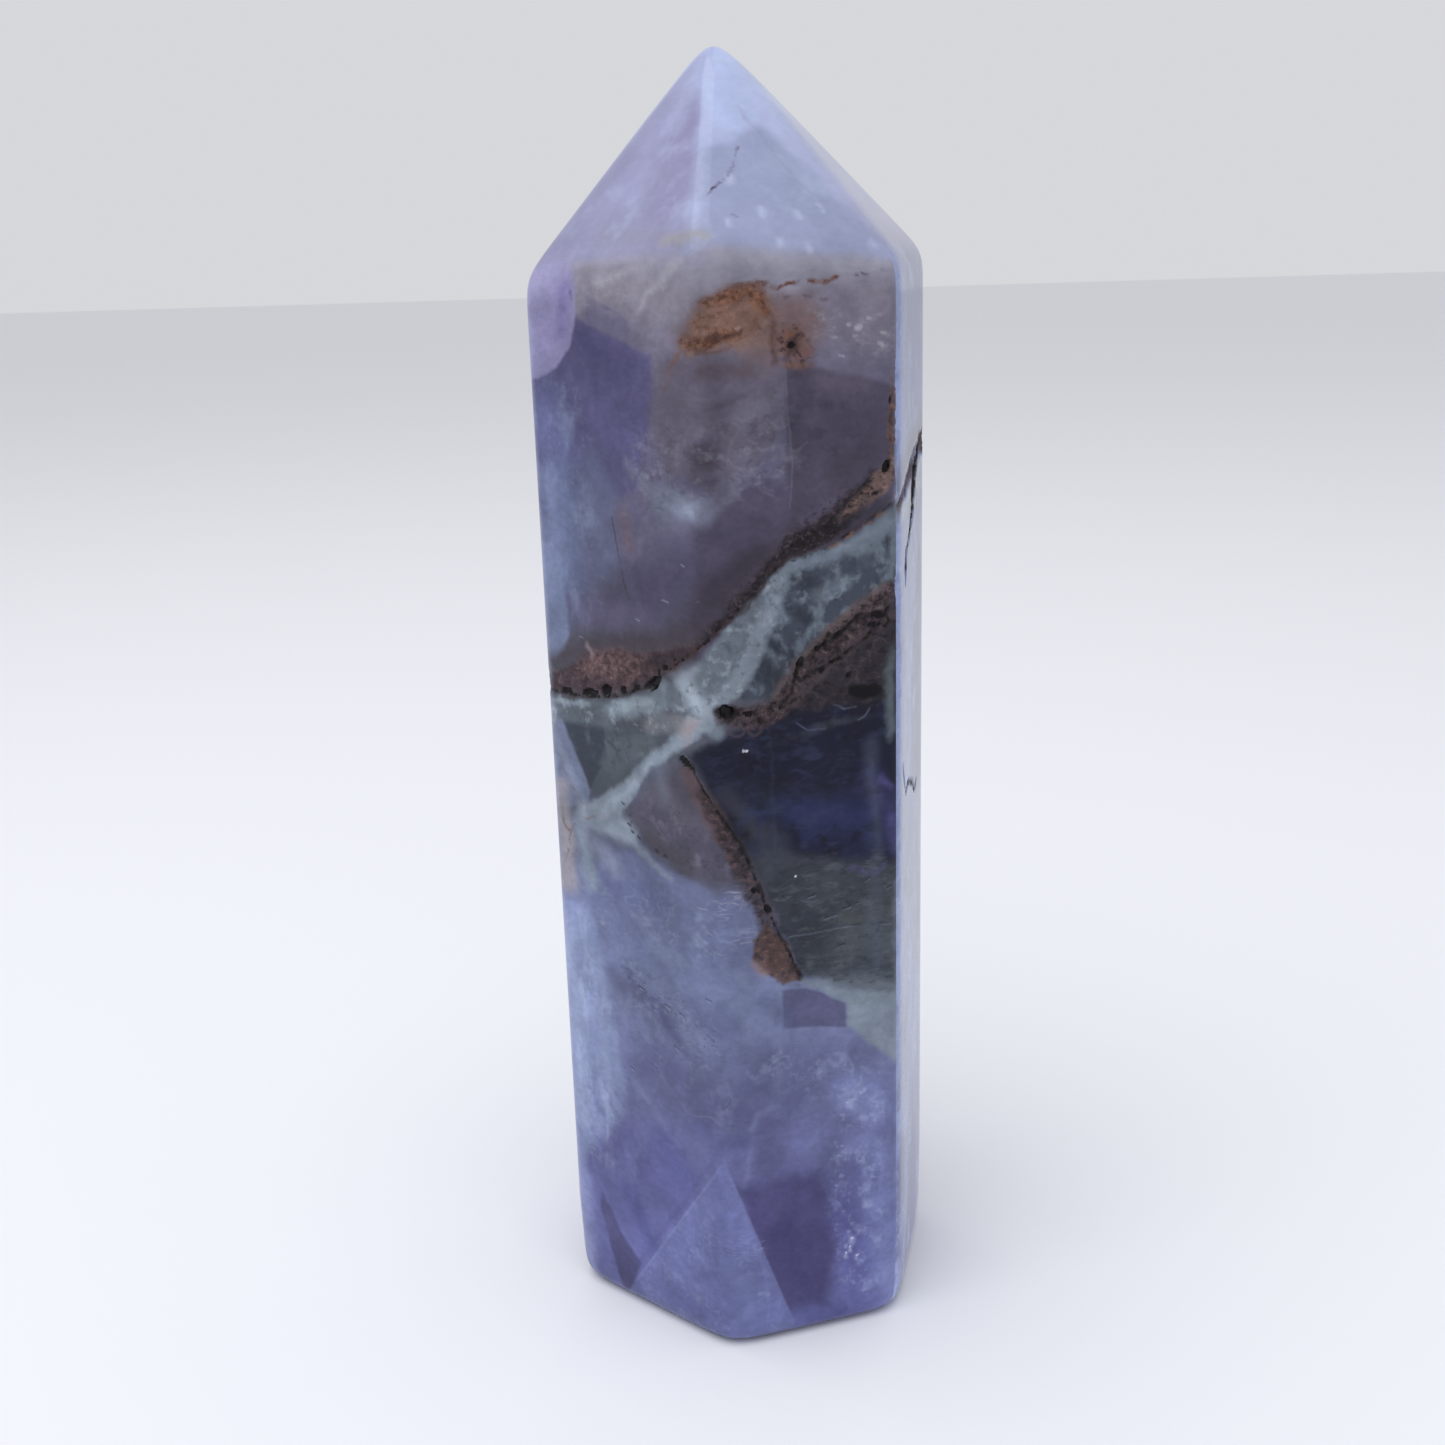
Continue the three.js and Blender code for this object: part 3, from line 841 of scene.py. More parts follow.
def grey_shoulder_with_painted_highlight(paint):
    """The beige-grey growth under the shoulder, with lighter streaks, and a painted highlight along the
    shoulder's rounded edge.
    """
    paint.cloud("827d89", (-9, 74.4), (-1.5, 73.4), 1.1, 0.9, 0.9)
    # Painted highlight: a light line along the rounded shoulder edge, across both front faces.
    paint.cloud("9b99a6", (-11, 75.6), (2, 75.9), 0.4, 0.6, 0.85)
    paint.cloud("9595a2", (2, 75.7), (12.6, 75.1), 0.35, 0.6, 0.85)
    paint.vein(
        "a3a1ac", ((-1.2, 75.8, 0.3), (-2.6, 74.6, 0.25), (-4, 73.6, 0.2), (-5, 72.6, 0.1)), 0.35, 0.65
    )
    paint.vein("9d9aa6", ((-3.6, 75.6, 0.15), (-6, 74.8, 0.2), (-8.6, 74.4, 0.15)), 0.3, 0.55)
    paint.vein("77717e", ((-8.8, 73.9, 0.2), (-6.2, 73.2, 0.3), (-4.4, 71.9, 0.2)), 0.4, 0.5)
    around = paint.region((-8.5, 74), (11.5, 73.6), 1.8, 1.8, 0.9)
    paint.wisps(around, "9a97a3", 1.8, 2.4, 0.45)
    paint.spot("9a96a6", (-0.6, 75.8), (-0.4, 75.6), 0.15, 0.25)


def rusty_patch(paint):
    """The crumbly rust-brown stain on the right face, just under the shoulder."""
    paint.cloud("726d7c", (8.6, 72.4), (12.4, 72), 1.6, 0.9, 0.9)
    paint.cloud("7c7783", (11, 73.4), (12.4, 72.6), 0.5, 0.6, 0.7)
    halo = paint.vein_mask(
        paint.cloudy, ((-1, 71, 0.9), (1.5, 72, 1.9), (4, 71.6, 2), (6.4, 71.6, 1.7)), 0.8
    )
    paint.lay(halo, "705f61", 0.8)
    stain = paint.vein("77594c", RUST_STAIN[:4], 0.45, 0.85)
    mauve = paint.vein_mask(paint.cloudy, ((4.6, 71, 1), (5.8, 72.2, 1.3), (7.2, 71.4, 0.9)), 0.8)
    paint.lay(mauve, "6c585a", 0.75)
    paint.cloud("81695f", (2.4, 70.4), (4.4, 70.4), 0.3, 0.5, 0.7)
    paint.crumble(stain, "60412f", "86695a", 0.7, 0.65)
    top = paint.vein(
        "6b4431", ((0.4, 73.1, 0.3), (2, 73.5, 0.5), (3.6, 73.7, 0.5), (4, 72.6, 0.35)), 0.3, 0.7
    )
    low = paint.vein(
        "654231", ((-1.2, 70.8, 0.3), (0.4, 70.6, 0.35), (1.4, 71.1, 0.4), (2.6, 71.2, 0.3)), 0.3, 0.65
    )
    paint.crumble(top, "4a2d20", "8a6450", 0.4)
    paint.crumble(low, "452a20", "8a6552", 0.4)
    paint.cloud("6c5e66", (5.2, 73.3), (7.6, 73.4), 0.3, 0.5, 0.65)
    paint.cloud("594b4e", (-0.2, 69), (2.9, 68.9), 0.4, 0.6, 0.7)
    paint.cloud("6a5859", (3, 69.9), (4.2, 69.6), 0.3, 0.5, 0.75)
    paint.cloud("5f4844", (2.9, 72.4), (3.4, 71.6), 0.4, 0.5, 0.6)
    paint.vein("553e37", ((0.3, 73.4, 0.14), (0.9, 73.3, 0.18), (1.5, 73.5, 0.1)), 0.2, 0.7)
    paint.vein("5a423b", ((1.7, 72.6, 0.08), (2.4, 72.9, 0.14), (3, 73.3, 0.08)), 0.2, 0.7)
    paint.vein(
        "3f2a26", ((0.5, 70.9, 0.12), (1.2, 70.97, 0.22), (2.1, 71.05, 0.14), (2.8, 71.3, 0.1)), 0.2, 0.8
    )
    paint.vein(
        "5c443d", ((-0.9, 71.2, 0.15), (-0.4, 70.4, 0.12), (0.8, 70.1, 0.22), (1.5, 70.2, 0.1)), 0.25, 0.75
    )
    paint.vein(
        "4c362f", ((4.75, 71.9, 0.12), (4.9, 71.2, 0.16), (4.7, 70.3, 0.12), (4.85, 69.4, 0.24)), 0.25, 0.8
    )
    paint.spot("948587", (2.4, 71.5), (2.7, 71.5), 0.06, 0.12, 0.6)
    star = paint.streak_mask(paint.ragged, (5.9, 70.5), (6.4, 69.9), 1, 0.9, 0.55)
    paint.lay(star, "684a40", 0.75)
    paint.crumble(star, "38262a", "7f5443", 0.55, 0.85)
    rays = paint.streak_mask(paint.point, (6, 70.4), (6.2, 70), 1.3, 1.2, 0.5)
    paint.specks(rays, "3a2424", 0.5, 0.45, 0.5, 0.85)
    paint.spot("382a2c", (6.3, 70.8), (5.6, 69.8), 0.22, 0.4)
    paint.spot("2c2126", (5.9, 70.5), (6.2, 70.1), 0.22, 0.3, 0.9)
    for around, up in ((5.8, 73.2), (7, 73.1), (8.2, 73.05)):
        paint.spot("54454b", (around - 0.15, up), (around + 0.15, up), 0.1, 0.15, 0.75)
    paint.spot("76574b", (5.3, 69.2), (7.2, 69.1), 0.12, 0.25, 0.7)
    paint.spot("705247", (6.9, 70.6), (7.3, 70.1), 0.12, 0.2, 0.6)
    rim = (
        (1.5, 73.8), (2.8, 74.15), (4.3, 74), (5, 73.85), (5.7, 74), (7.2, 74.05), (8.2, 74.15), (9, 74.3)
    )
    paint.vein("684d45", ((2.6, 74.1, 0.08), (4.3, 74, 0.14), (4.9, 73.9, 0.05), (6.2, 74, 0.1)), 0.18, 0.8)
    paint.vein("7b5a4b", ((7.2, 74.03, 0.05), (8.2, 74.12, 0.1), (9, 74.32, 0.06)), 0.18, 0.8)
    paint.rust_line("5a3527", rim, 0.12, 0.95)
    paint.rust_line("57444a", ((9.6, 74.5), (11, 74.4), (12, 74.7), (12.9, 74.3)))
    paint.rust_line("70503f", ((-2.8, 68), (-2.4, 69), (-1.6, 70.2)), 0.12, 0.8)
    paint.crack("a3a0ac", ((10.2, 75), (11.2, 75.1), (12.6, 74.7)), 0.06)
    field = paint.region((8.4, 71.4), (12, 70.6), 1.2, 1.2, 0.8)
    paint.wisps(field, "8d8996", 0.9, 1.6, 0.6)
    for around, up, size in (
        (9.7, 71.4, 0.12), (10.4, 71.2, 0.16), (8.6, 70.8, 0.08), (11.7, 70.2, 0.08), (12, 70.9, 0.1),
        (9.2, 69.6, 0.07), (10.1, 70.7, 0.06), (11, 71.8, 0.08),
    ):
        paint.spot("9f9ca9", (around, up), (around + 0.2, up), size, 0.12, 0.75)


def smoky_growth(paint):
    """The smoky grey growth across the near edge above the seams, with a dark round spot."""
    paint.block("615b6b", (
        (-4.3, 66), (-3.2, 62.5), (3.2, 62.6), (5.5, 66), (5.4, 69.4), (-2, 70), (-3.8, 69)
    ), 0.5, 0.8)
    paint.cloud("665a62", (-2.2, 69.3), (4.6, 69), 0.5, 0.7, 0.7)
    paint.spot("48424e", (0.9, 66.9), (2.8, 67.6), 0.2, 0.45, 0.65)
    paint.spot("4d4654", (0.4, 66), (1.6, 66.5), 0.12, 0.4, 0.5)
    paint.cloud("706d7b", (2.2, 66), (4.4, 67), 0.5, 0.8, 0.65)
    paint.cloud("6a6475", (-3, 66.8), (-1.4, 65.8), 0.5, 0.7, 0.5)
    paint.block("484354", ((5.6, 54), (14, 60), (14, 67.4), (8, 68.9), (5.5, 69.3)), 0.25, 0.92)
    paint.block("3f3a4a", ((5.6, 54), (8, 56), (7.6, 62), (6.4, 66.2), (5.6, 66)), 0.6, 0.6)
    paint.cloud("4f495b", (9, 66.6), (11.4, 65.4), 1.2, 1.2, 0.7)
    paint.cloud("423a46", (8.6, 62.2), (11, 63.4), 1, 1, 0.6)
    paint.block("474053", ((-1.15, 51), (6, 57), (5.6, 62), (2, 62.4), (-1.15, 59.5)), 0.5, 0.8)
    paint.cloud("524a5e", (1.4, 60.6), (4.4, 60.6), 0.8, 0.9, 0.6)
    ring = (
        (-2.2, 63.2, 0.25), (-1.7, 65.2, 0.3), (0.2, 66, 0.3), (1.9, 65, 0.25), (2, 63, 0.25),
        (0.6, 61.8, 0.2),
    )
    paint.vein("655f6c", ring, 0.45, 0.75)
    paint.cloud("3f3843", (-0.5, 63.9), (0.2, 63.9), 0.75, 0.7, 0.95)
    paint.cloud("433b46", (-1, 62.5), (0.6, 62.2), 0.4, 0.6, 0.65)
    paint.spot("35303c", (-0.5, 64.4), (0.2, 64.5), 0.15, 0.3, 0.7)
    paint.spot("4c4550", (-1, 63.2), (0.6, 63.1), 0.08, 0.16, 0.7)
    paint.spot("5a535d", (-0.6, 62.6), (0.7, 62.6), 0.06, 0.12, 0.6)
    paint.cloud("7a8094", (-3.4, 60.9), (-0.6, 60.2), 0.75, 0.9, 0.9)
    paint.cloud("8b94a8", (-2, 60.7), (-1.2, 60.3), 0.45, 0.6)
    paint.vein("6d7082", ((-2.6, 61.2, 0.35), (-4.8, 61.8, 0.35), (-6.4, 63.2, 0.2)), 0.55, 0.75)
    paint.vein("656577", ((-0.2, 60.4, 0.45), (1.8, 61.6, 0.35), (3, 63.6, 0.2)), 0.5, 0.75)
    paint.vein("5f5f72", ((-1.6, 59.6, 0.3), (-4.6, 59, 0.3), (-6, 58, 0.2)), 0.5, 0.6)
    about = paint.region((-3.5, 62.5), (3.5, 64), 2.6, 2.8, 1.4)
    paint.wisps(about, "7e7c8a", 1, 1.3, 0.5)
    paint.threads(about, "8a8896", 2.2, 1.2, 0.02, 0.5)
    paint.wisps(about, "453f4d", 0.8, 1.2, 0.4, 0.52, 0.66)
    right = paint.region((6.5, 67), (10.5, 61), 2.2, 2.6, 1.2)
    paint.threads(right, "5f5868", 2.6, 1, 0.02, 0.5)
    paint.wisps(right, "37323f", 1.2, 1, 0.4, 0.52, 0.66)
    paint.crack("6d6a78", ((5.5, 69), (5.65, 66), (5.9, 63), (5.7, 60.4)), 0.06, 0.4)


def blue_haze(paint):
    """The bluish haze down the left of the left face, and a thin dark curved veil in it."""
    paint.cloud("676b94", (-13.6, 66), (-12.4, 61.5), 1.6, 1.4, 0.85)
    paint.cloud("6b7598", (-12.8, 60.5), (-12.4, 54.5), 2, 1.6, 0.9)
    paint.cloud("7781a0", (-13.2, 61), (-13, 56.5), 0.8, 1.1, 0.6)
    paint.cloud("5f6480", (-9.6, 62), (-9, 57), 1.6, 1.4)
    paint.cloud("5a546f", (-11.6, 53.4), (-8, 53), 1.2, 0.9, 0.75)
    paint.cloud("665a68", (-7, 59.6), (-6.5, 57.8), 0.6, 0.6)
    paint.cloud("45405a", (-5.2, 55.4), (-2.4, 56.6), 1.4, 1.2, 0.65)
    paint.cloud("514c66", (-5.6, 53), (-3.4, 54), 0.8, 0.9, 0.5)
    strip = ((-16, 49.2), (-14, 49.3), (-13, 50.2), (-12.4, 51.2), (-12.4, 53), (-13.4, 57.5), (-16, 57.5))
    paint.block("727d9b", strip, 0.25, 0.8)
    haze = paint.region((-12.8, 66), (-11.8, 55), 2.6, 2.8, 1.4)
    paint.wisps(haze, "8792b0", 2, 0.6, 0.45)
    paint.frost(haze, "8e97b4", 0.4, 0.25)
    veil = paint.region((-8, 60), (-3, 55), 2, 2.4, 1.2)
    paint.threads(veil, "6a6680", 2.4, 0.8, 0.02, 0.45)
    paint.crack(
        "37303c", ((-7.9, 59.6), (-7.6, 58.2), (-7.35, 56.8), (-7.1, 55.6), (-6.7, 54.3)), 0.05, 0.75
    )
    for around, up, length in (
        (-3.8, 54.6, 0.6), (-6.2, 53.1, 0.3), (-11.5, 51.3, 0.4), (-2, 57.1, 0.2), (-0.8, 54.8, 0.5),
        (-9.2, 55.6, 0.25),
    ):
        paint.crack("8d8ca2", ((around, up), (around + length, up - 0.1)), 0.03, 0.75)


def brown_growth_above(paint):
    """The dark brown growth that lies on the main seam, thickest at the right."""
    paint.vein("3a343e", ((-2.6, 52.6, 0.5), (0, 53.6, 0.9), (3, 56.2, 1.2), (6, 58.2, 1)), 0.9, 0.75)
    paint.vein("251f24", DARK_GROWTH, 0.3, 0.92)
    paint.spot("1b171b", (6, 58.2), (9.4, 59.2), 0.5, 0.4, 0.85)
    upper = paint.vein_mask(
        paint.ragged, ((1.4, 54.4, 0.4), (4.4, 57.2, 0.6), (7, 59.6, 0.6), (10, 61, 0.6)), 0.5
    )
    paint.crumble(upper, "1c181d", "54464a", 0.5, 0.6)
    rough = paint.vein("66534f", RUSTY_EDGE[:4], 0.25)
    paint.crumble(rough, "38282a", "81675f")
    strip = paint.vein(
        "60463b", ((12.9, 63.4, 0.4), (12.7, 65.4, 0.45), (12.9, 67.4, 0.3), (13, 69.4, 0.15)), 0.3, 0.8
    )
    paint.crumble(strip, "35231f", "84604a", 0.45)
    paint.crumble(paint.vein_mask(paint.ragged, DARK_GROWTH, 0.3), "0f0c0f", "4a3e42", 0.4, 0.7)
    for around, up, length in (
        (12.3, 62.9, 0.25), (12.6, 67.3, 0.1), (12.5, 66.6, 0.1), (11.4, 60.9, 0.4), (12.6, 65.9, 0.1)
    ):
        paint.spot("151113", (around, up), (around + length, up + 0.1), 0.14, 0.14, 0.95)


def left_seam(paint):
    """The crumbly brown seam of the left face, pinkish in its middle, lined with iron below."""
    paint.vein("3f373f", (
        (-14.6, 49.2, 0.4), (-11, 50.4, 0.6), (-7, 51.6, 0.6), (-3, 51.9, 0.7), (-0.8, 52.5, 0.4)
    ), 0.7, 0.8)
    seam = paint.vein("493a40", LEFT_SEAM, 0.3, 0.95)
    middle = paint.vein(
        "5e4a4b", ((-11.4, 49, 0.5), (-9.4, 49.6, 0.9), (-7.2, 49.8, 0.9), (-5.4, 50.1, 0.5)), 0.6, 0.85
    )
    paint.crumble(seam, "2c2226", "6a5755", 0.7, 0.5)
    paint.crumble(middle, "433133", "7b6562", 0.35, 0.5)
    paint.spot("897a83", (-10.8, 50.6), (-10.4, 50.2), 0.2, 0.25, 0.7)
    paint.spot("2e262b", (-5.6, 50), (-1.4, 51.5), 0.45, 0.4, 0.75)
    paint.vein("3a2926", LEFT_LINING, 0.22, 0.85)


def white_below_left_seam(paint):
    """The white band under the left seam, grey-green to the left, and the vein on to the knot."""
    paint.block("5a636c", ((-15.5, 45), (-9, 45.1), (-8.6, 47.1), (-15.5, 46.8)), 0.35, 0.9)
    paint.vein("8a95a1", ((-14.6, 46.3, 0.15), (-12.8, 46.5, 0.2), (-11, 46.6, 0.18)), 0.25, 0.85)
    paint.vein("78838e", ((-9, 46.4, 0.4), (-7, 46.9, 0.7), (-5, 47.4, 0.8), (-3.8, 48.4, 0.7)), 0.4, 0.95)
    paint.vein("909ba6", ((-8.4, 46.9, 0.2), (-6.6, 47.3, 0.35), (-5.2, 47.5, 0.3)), 0.3, 0.8)
    paint.vein("76777c", ((-5.6, 45.9, 0.4), (-4, 46.4, 0.6), (-2.6, 46.6, 0.5)), 0.4, 0.7)
    paint.spot("4f555d", (-12.6, 45.6), (-10.2, 45.9), 0.2, 0.35, 0.7)
    under = paint.region((-13.5, 46), (-4, 46.8), 0.9, 1.1, 0.5)
    paint.wisps(under, "96a1ac", 0.8, 1, 0.6)
    paint.wisps(under, "454b53", 0.7, 0.8, 0.5, 0.54, 0.68)


def white_vein(paint):
    """The white vein from the knot up to the right, with half clear windows beside it."""
    windows = ((2, 48.2), (5, 48), (13.8, 54.4), (13.8, 59.2), (5.5, 56.9), (3.2, 52))
    glass = paint.block("3a404c", windows, 0.25, 0.95, 3, ragged=True)
    paint.wisps(glass, "6c7682", 1.3, 0.8, 0.65, 0.47, 0.62)
    paint.wisps(glass, "282c37", 1.1, 0.9, 0.75, 0.53, 0.66)
    paint.threads(glass, "8d98a4", 1.6, 0.8, 0.03, 0.6)
    paint.spot("6c7682", (7.6, 54.6), (9.4, 55.4), 0.4, 0.5, 0.6)
    paint.spot("6f7986", (4.6, 54.2), (5.2, 53.4), 0.25, 0.4, 0.6)
    paint.vein(
        "66707d", ((5.6, 56.7, 0.3), (8.4, 57.1, 0.4), (10.5, 57.9, 0.55), (13.4, 59.4, 0.8)), 0.3, 0.95
    )
    paint.vein("747e8b", ((9, 57.6, 0.15), (11.4, 58.6, 0.3), (13.4, 59.6, 0.5)), 0.3, 0.8)
    paint.vein("67717c", ((12.4, 55.6, 0.3), (13.2, 57.4, 0.5), (13.4, 59.4, 0.6)), 0.4, 0.8)
    paint.spot("3b404d", (9.4, 56.2), (11, 56.5), 0.45, 0.35, 0.85)
    paint.spot("272b36", (5.9, 54), (6.8, 53.2), 0.5, 0.4, 0.85)
    paint.spot("262a35", (3.9, 52), (4.6, 51.4), 0.35, 0.3, 0.9)
    paint.spot("282d38", (3.3, 50.6), (4.5, 48.9), 0.8, 0.5, 0.85)
    paint.spot("2f343f", (5.5, 55.5), (5.9, 54.9), 0.15, 0.25, 0.9)
    paint.spot("3d424e", (7.6, 56.2), (8.2, 56), 0.2, 0.3)
    vein = (
        (-2.9, 48.2, 1), (-1.2, 48.5, 1.4), (0.6, 49.8, 1.7), (2, 51.6, 1.6), (3.4, 53.6, 1.2),
        (4.8, 55.6, 0.7), (5.5, 56.7, 0.2),
    )
    paint.vein("5f6772", vein, 0.25, 0.97)
    edge = (
        (-0.4, 47.6, 0.5), (1.4, 48.9, 0.55), (2.5, 50.4, 0.6), (3.4, 52.4, 0.6), (4.3, 54.3, 0.5),
        (5.2, 56.4, 0.25),
    )
    paint.vein("747d89", edge, 0.3, 0.85)
    paint.cloud("98a2ae", (-2, 49.2), (-0.8, 48), 0.7, 0.6, 0.85)
    paint.cloud("8a94a0", (-2.8, 49.6), (-1.4, 50.6), 0.3, 0.5, 0.7)
    paint.cloud("86909d", (2.2, 50.2), (4, 53.6), 0.25, 0.4, 0.45)
    inside = paint.vein_mask(paint.crisp, vein, 0.2)
    paint.wisps(inside, "9ca6b1", 0.9, 1, 0.5)
    paint.wisps(inside, "4e555f", 0.7, 1.1, 0.55, 0.53, 0.66)
    paint.spot("4c535e", (1.6, 53.3), (2.2, 53), 0.2, 0.25)
    paint.spot("474e59", (1, 52.1), (1.5, 51.7), 0.15, 0.25)
    paint.spot("5d6570", (2.2, 51.7), (2.5, 51.5), 0.1, 0.15, 0.7)
    paint.spot("555c66", (3, 54.2), (3.8, 55), 0.12, 0.3, 0.7)
    paint.vein("33262a", VEIN_RIM, 0.2, 0.85)
    paint.rust_line("7b5f50", ((7.4, 57.3), (8.8, 57.8), (10.4, 58.8), (12.2, 59.6), (13, 60.6)), 0.14, 0.8)


def brown_band(paint):
    """The rough brown band of the right face, with a dark hollow at its left end."""
    below = ((4.8, 47.2), (13.6, 47.2), (13.6, 55), (11, 53.8), (7.4, 51.4), (5.4, 48.6))
    paint.block("2c272e", below, 0.4, 0.95, ragged=True)
    band = paint.vein("43373b", BROWN_BAND, 0.3, 0.95)
    paint.vein("5d4f50", ((4.4, 48.3, 0.2), (6.2, 50.6, 0.3), (8.6, 52.5, 0.35), (12, 55, 0.3)), 0.3, 0.75)
    paint.vein(
        "4b3f44", ((5, 47.2, 0.2), (7.4, 49.4, 0.35), (10.4, 51.6, 0.4), (12.6, 52.8, 0.4)), 0.3, 0.75
    )
    paint.crumble(band, "1a1417", "665656", 0.45)
    patch = paint.block_mask(paint.cloudy, below, 0.5, 2)
    paint.crumble(patch, "17141a", "473d44", 0.7, 0.6)
    paint.threads(patch, "5e5359", 1.4, 1.2, 0.025, 0.5)
    wide, tall = 0.5, 0.42
    for around, up in ((1.75, 46.3), (2.95, 46.25)):
        ring = [(around + wide * math.cos(turn / 2), up + tall * math.sin(turn / 2)) for turn in range(13)]
        paint.crack("4c3f43", ring, 0.1, 0.5)
    paint.vein("565f66", ((12.7, 50.6, 0.3), (12.4, 48, 0.4), (12.6, 45, 0.3)), 0.35, 0.75)
    paint.vein("161113", UPPER_CREVICE, 0.15, 0.75)
    paint.vein("161113", LOWER_CREVICE, 0.15, 0.7)
    paint.spot("0f0c0e", (0.6, 47.7), (1.4, 47.4), 0.45, 0.25, 0.95)
    paint.spot("0b0a0f", (10, 48), (11.4, 48), 0.5, 0.18, 0.97)
    paint.spot("110d0f", (2.4, 47.3), (2.8, 47.3), 0.12, 0.15, 0.9)
    paint.spot("110d0f", (6.2, 50.5), (6.15, 49.9), 0.18, 0.12, 0.95)
    paint.spot("110d0f", (7.6, 49.7), (7.8, 49.8), 0.14, 0.12, 0.9)
    paint.spot("110d0f", (9.4, 49.1), (9.6, 49.2), 0.12, 0.12, 0.9)
    paint.spot("110d0f", (10.9, 52.4), (11.6, 52.4), 0.14, 0.14, 0.9)
    paint.crack("0f0c0e", ((11, 52.8), (11.5, 53.2), (12.1, 53.1), (12.4, 52.6), (12.1, 52.2)), 0.14, 0.9)


def dark_heart(paint):
    """The darkest growth of the stone, navy under the brown band and grey-green below that."""
    green = ((0.8, 41), (3.6, 34), (4.6, 31.5), (5.9, 28.5), (8.5, 27.2), (14, 25.4), (14, 40), (8, 40.9))
    paint.block("32363e", green, 0.35, 0.95, ragged=True)
    paint.cloud("3f444a", (8, 34.8), (12.4, 34.2), 1, 1.2, 0.75)
    paint.cloud("4b5158", (9, 30.4), (12.8, 30), 1.3, 1.4)
    paint.vein("6b747e", ((7, 27.8, 0.2), (9.4, 27.2, 0.5), (13.4, 26.2, 0.8)), 0.9, 0.75)
    paint.cloud("4c4f4c", (9.5, 32), (12.6, 32.6), 0.6, 0.8, 0.5)
    paint.cloud("282c35", (5.6, 33.4), (7.6, 30.8), 1, 1.2, 0.6)
    navy = (
        (-2, 44.4), (-1.5, 43.4), (0.4, 40.3), (2.2, 38.2), (6, 37.2), (9.6, 36.4), (13.8, 35.6),
        (13.8, 46.6),
    )
    paint.block("0d0f26", navy, 0.5, 0.97, ragged=True)
    paint.vein("0d0f24", (
        (-0.9, 44.5, 0.6), (1.6, 45.3, 1), (4.6, 46.2, 1), (8.6, 47.2, 1), (13.4, 47.2, 1.2)
    ), 0.4, 0.97)
    paint.cloud("3a3c48", (0.9, 42.2), (2.8, 39.2), 0.5, 0.8, 0.75)
    paint.cloud("1c2238", (4.5, 40.6), (9, 39.6), 0.9, 1, 0.75)
    paint.cloud("2a2e56", (6, 40.4), (12.6, 38.2), 1.3, 1.4, 0.85)
    paint.cloud("35345c", (11.2, 41.6), (13.4, 38), 0.8, 1.2)
    paint.spot("57538a", (11.9, 41.7), (12.5, 41.1), 0.2, 0.4, 0.65)
    paint.spot("4e4a7c", (12.6, 38.8), (12.9, 36.6), 0.35, 0.45, 0.7)
    paint.spot("615d8c", (9.6, 35.7), (10.7, 35.2), 0.14, 0.3, 0.6)
    paint.spot("605c8a", (11.2, 35.2), (12, 35.6), 0.1, 0.25, 0.5)
    paint.cloud("23283a", (2.4, 42.6), (4, 40.6), 0.6, 0.8, 0.6)
    paint.vein("434a54", ((12.7, 49.2, 0.3), (12.4, 47, 0.3), (12.5, 44.5, 0.3)), 0.3, 0.8)
    paint.spot("241d20", (12.2, 50.6), (12.4, 49.9), 0.4, 0.3)
    heart = paint.block_mask(paint.cloudy, ((0, 38), (13, 36), (13, 48), (0, 46)), 0.8, 3)
    paint.wisps(heart, "262d50", 2.6, 0.6, 0.55)
    paint.wisps(heart, "363c5a", 1.8, 2.2, 0.3, 0.5, 0.68)
    paint.wisps(heart, "0a0b14", 1.6, 1.4, 0.5, 0.52, 0.68)
    paint.threads(heart, "3d4459", 2.4, 2.4, 0.014, 0.25)
    below = paint.block_mask(paint.cloudy, ((4, 28), (13, 26), (13, 37), (3, 37)), 0.8, 3)
    paint.wisps(below, "575d64", 1.3, 2.6, 0.55)
    paint.wisps(below, "22262d", 1.1, 2.2, 0.45, 0.52, 0.66)
    paint.threads(below, "6d737c", 2.2, 3, 0.014, 0.2)
    paint.crack("5d6477", ((8.5, 47.3), (9.2, 46.9), (10, 47)), 0.05)
    paint.crack("5d6477", ((10.2, 46.1), (10.7, 46.3), (11, 46.8)), 0.05)
    paint.crack("4e556a", ((5.8, 46.3), (6.6, 45.8), (7.8, 45.7)), 0.05, 0.7)
    paint.vein("2b3244", ((4, 46.2, 0.06), (4.1, 41, 0.1), (4.3, 36.8, 0.1), (4.4, 32, 0.06)), 0.2, 0.5)
    paint.spot("dfe5ee", (2.1, 44.8), (2.4, 44.75), 0.08, 0.08, 0.95)
    paint.spot("e3e8ee", (5.6, 35.6), (5.65, 35.6), 0.09, 0.08, 0.95)
    paint.crack("7b8296", ((5, 31.4), (9, 31.5), (12.8, 31.1)), 0.03, 0.45)
    for around, up, length in (
        (9, 32.9, 0.5), (10, 33.2, 0.9), (12.2, 33.9, 0.4), (10.6, 34.7, 0.3), (7.6, 32.4, 0.8),
        (6.4, 34, 0.6), (8.6, 30.2, 0.5),
    ):
        paint.crack("101217", ((around, up), (around + length, up + 0.15)), 0.04)
        paint.crack("7a808c", ((around, up - 0.14), (around + length, up)), 0.03, 0.5)


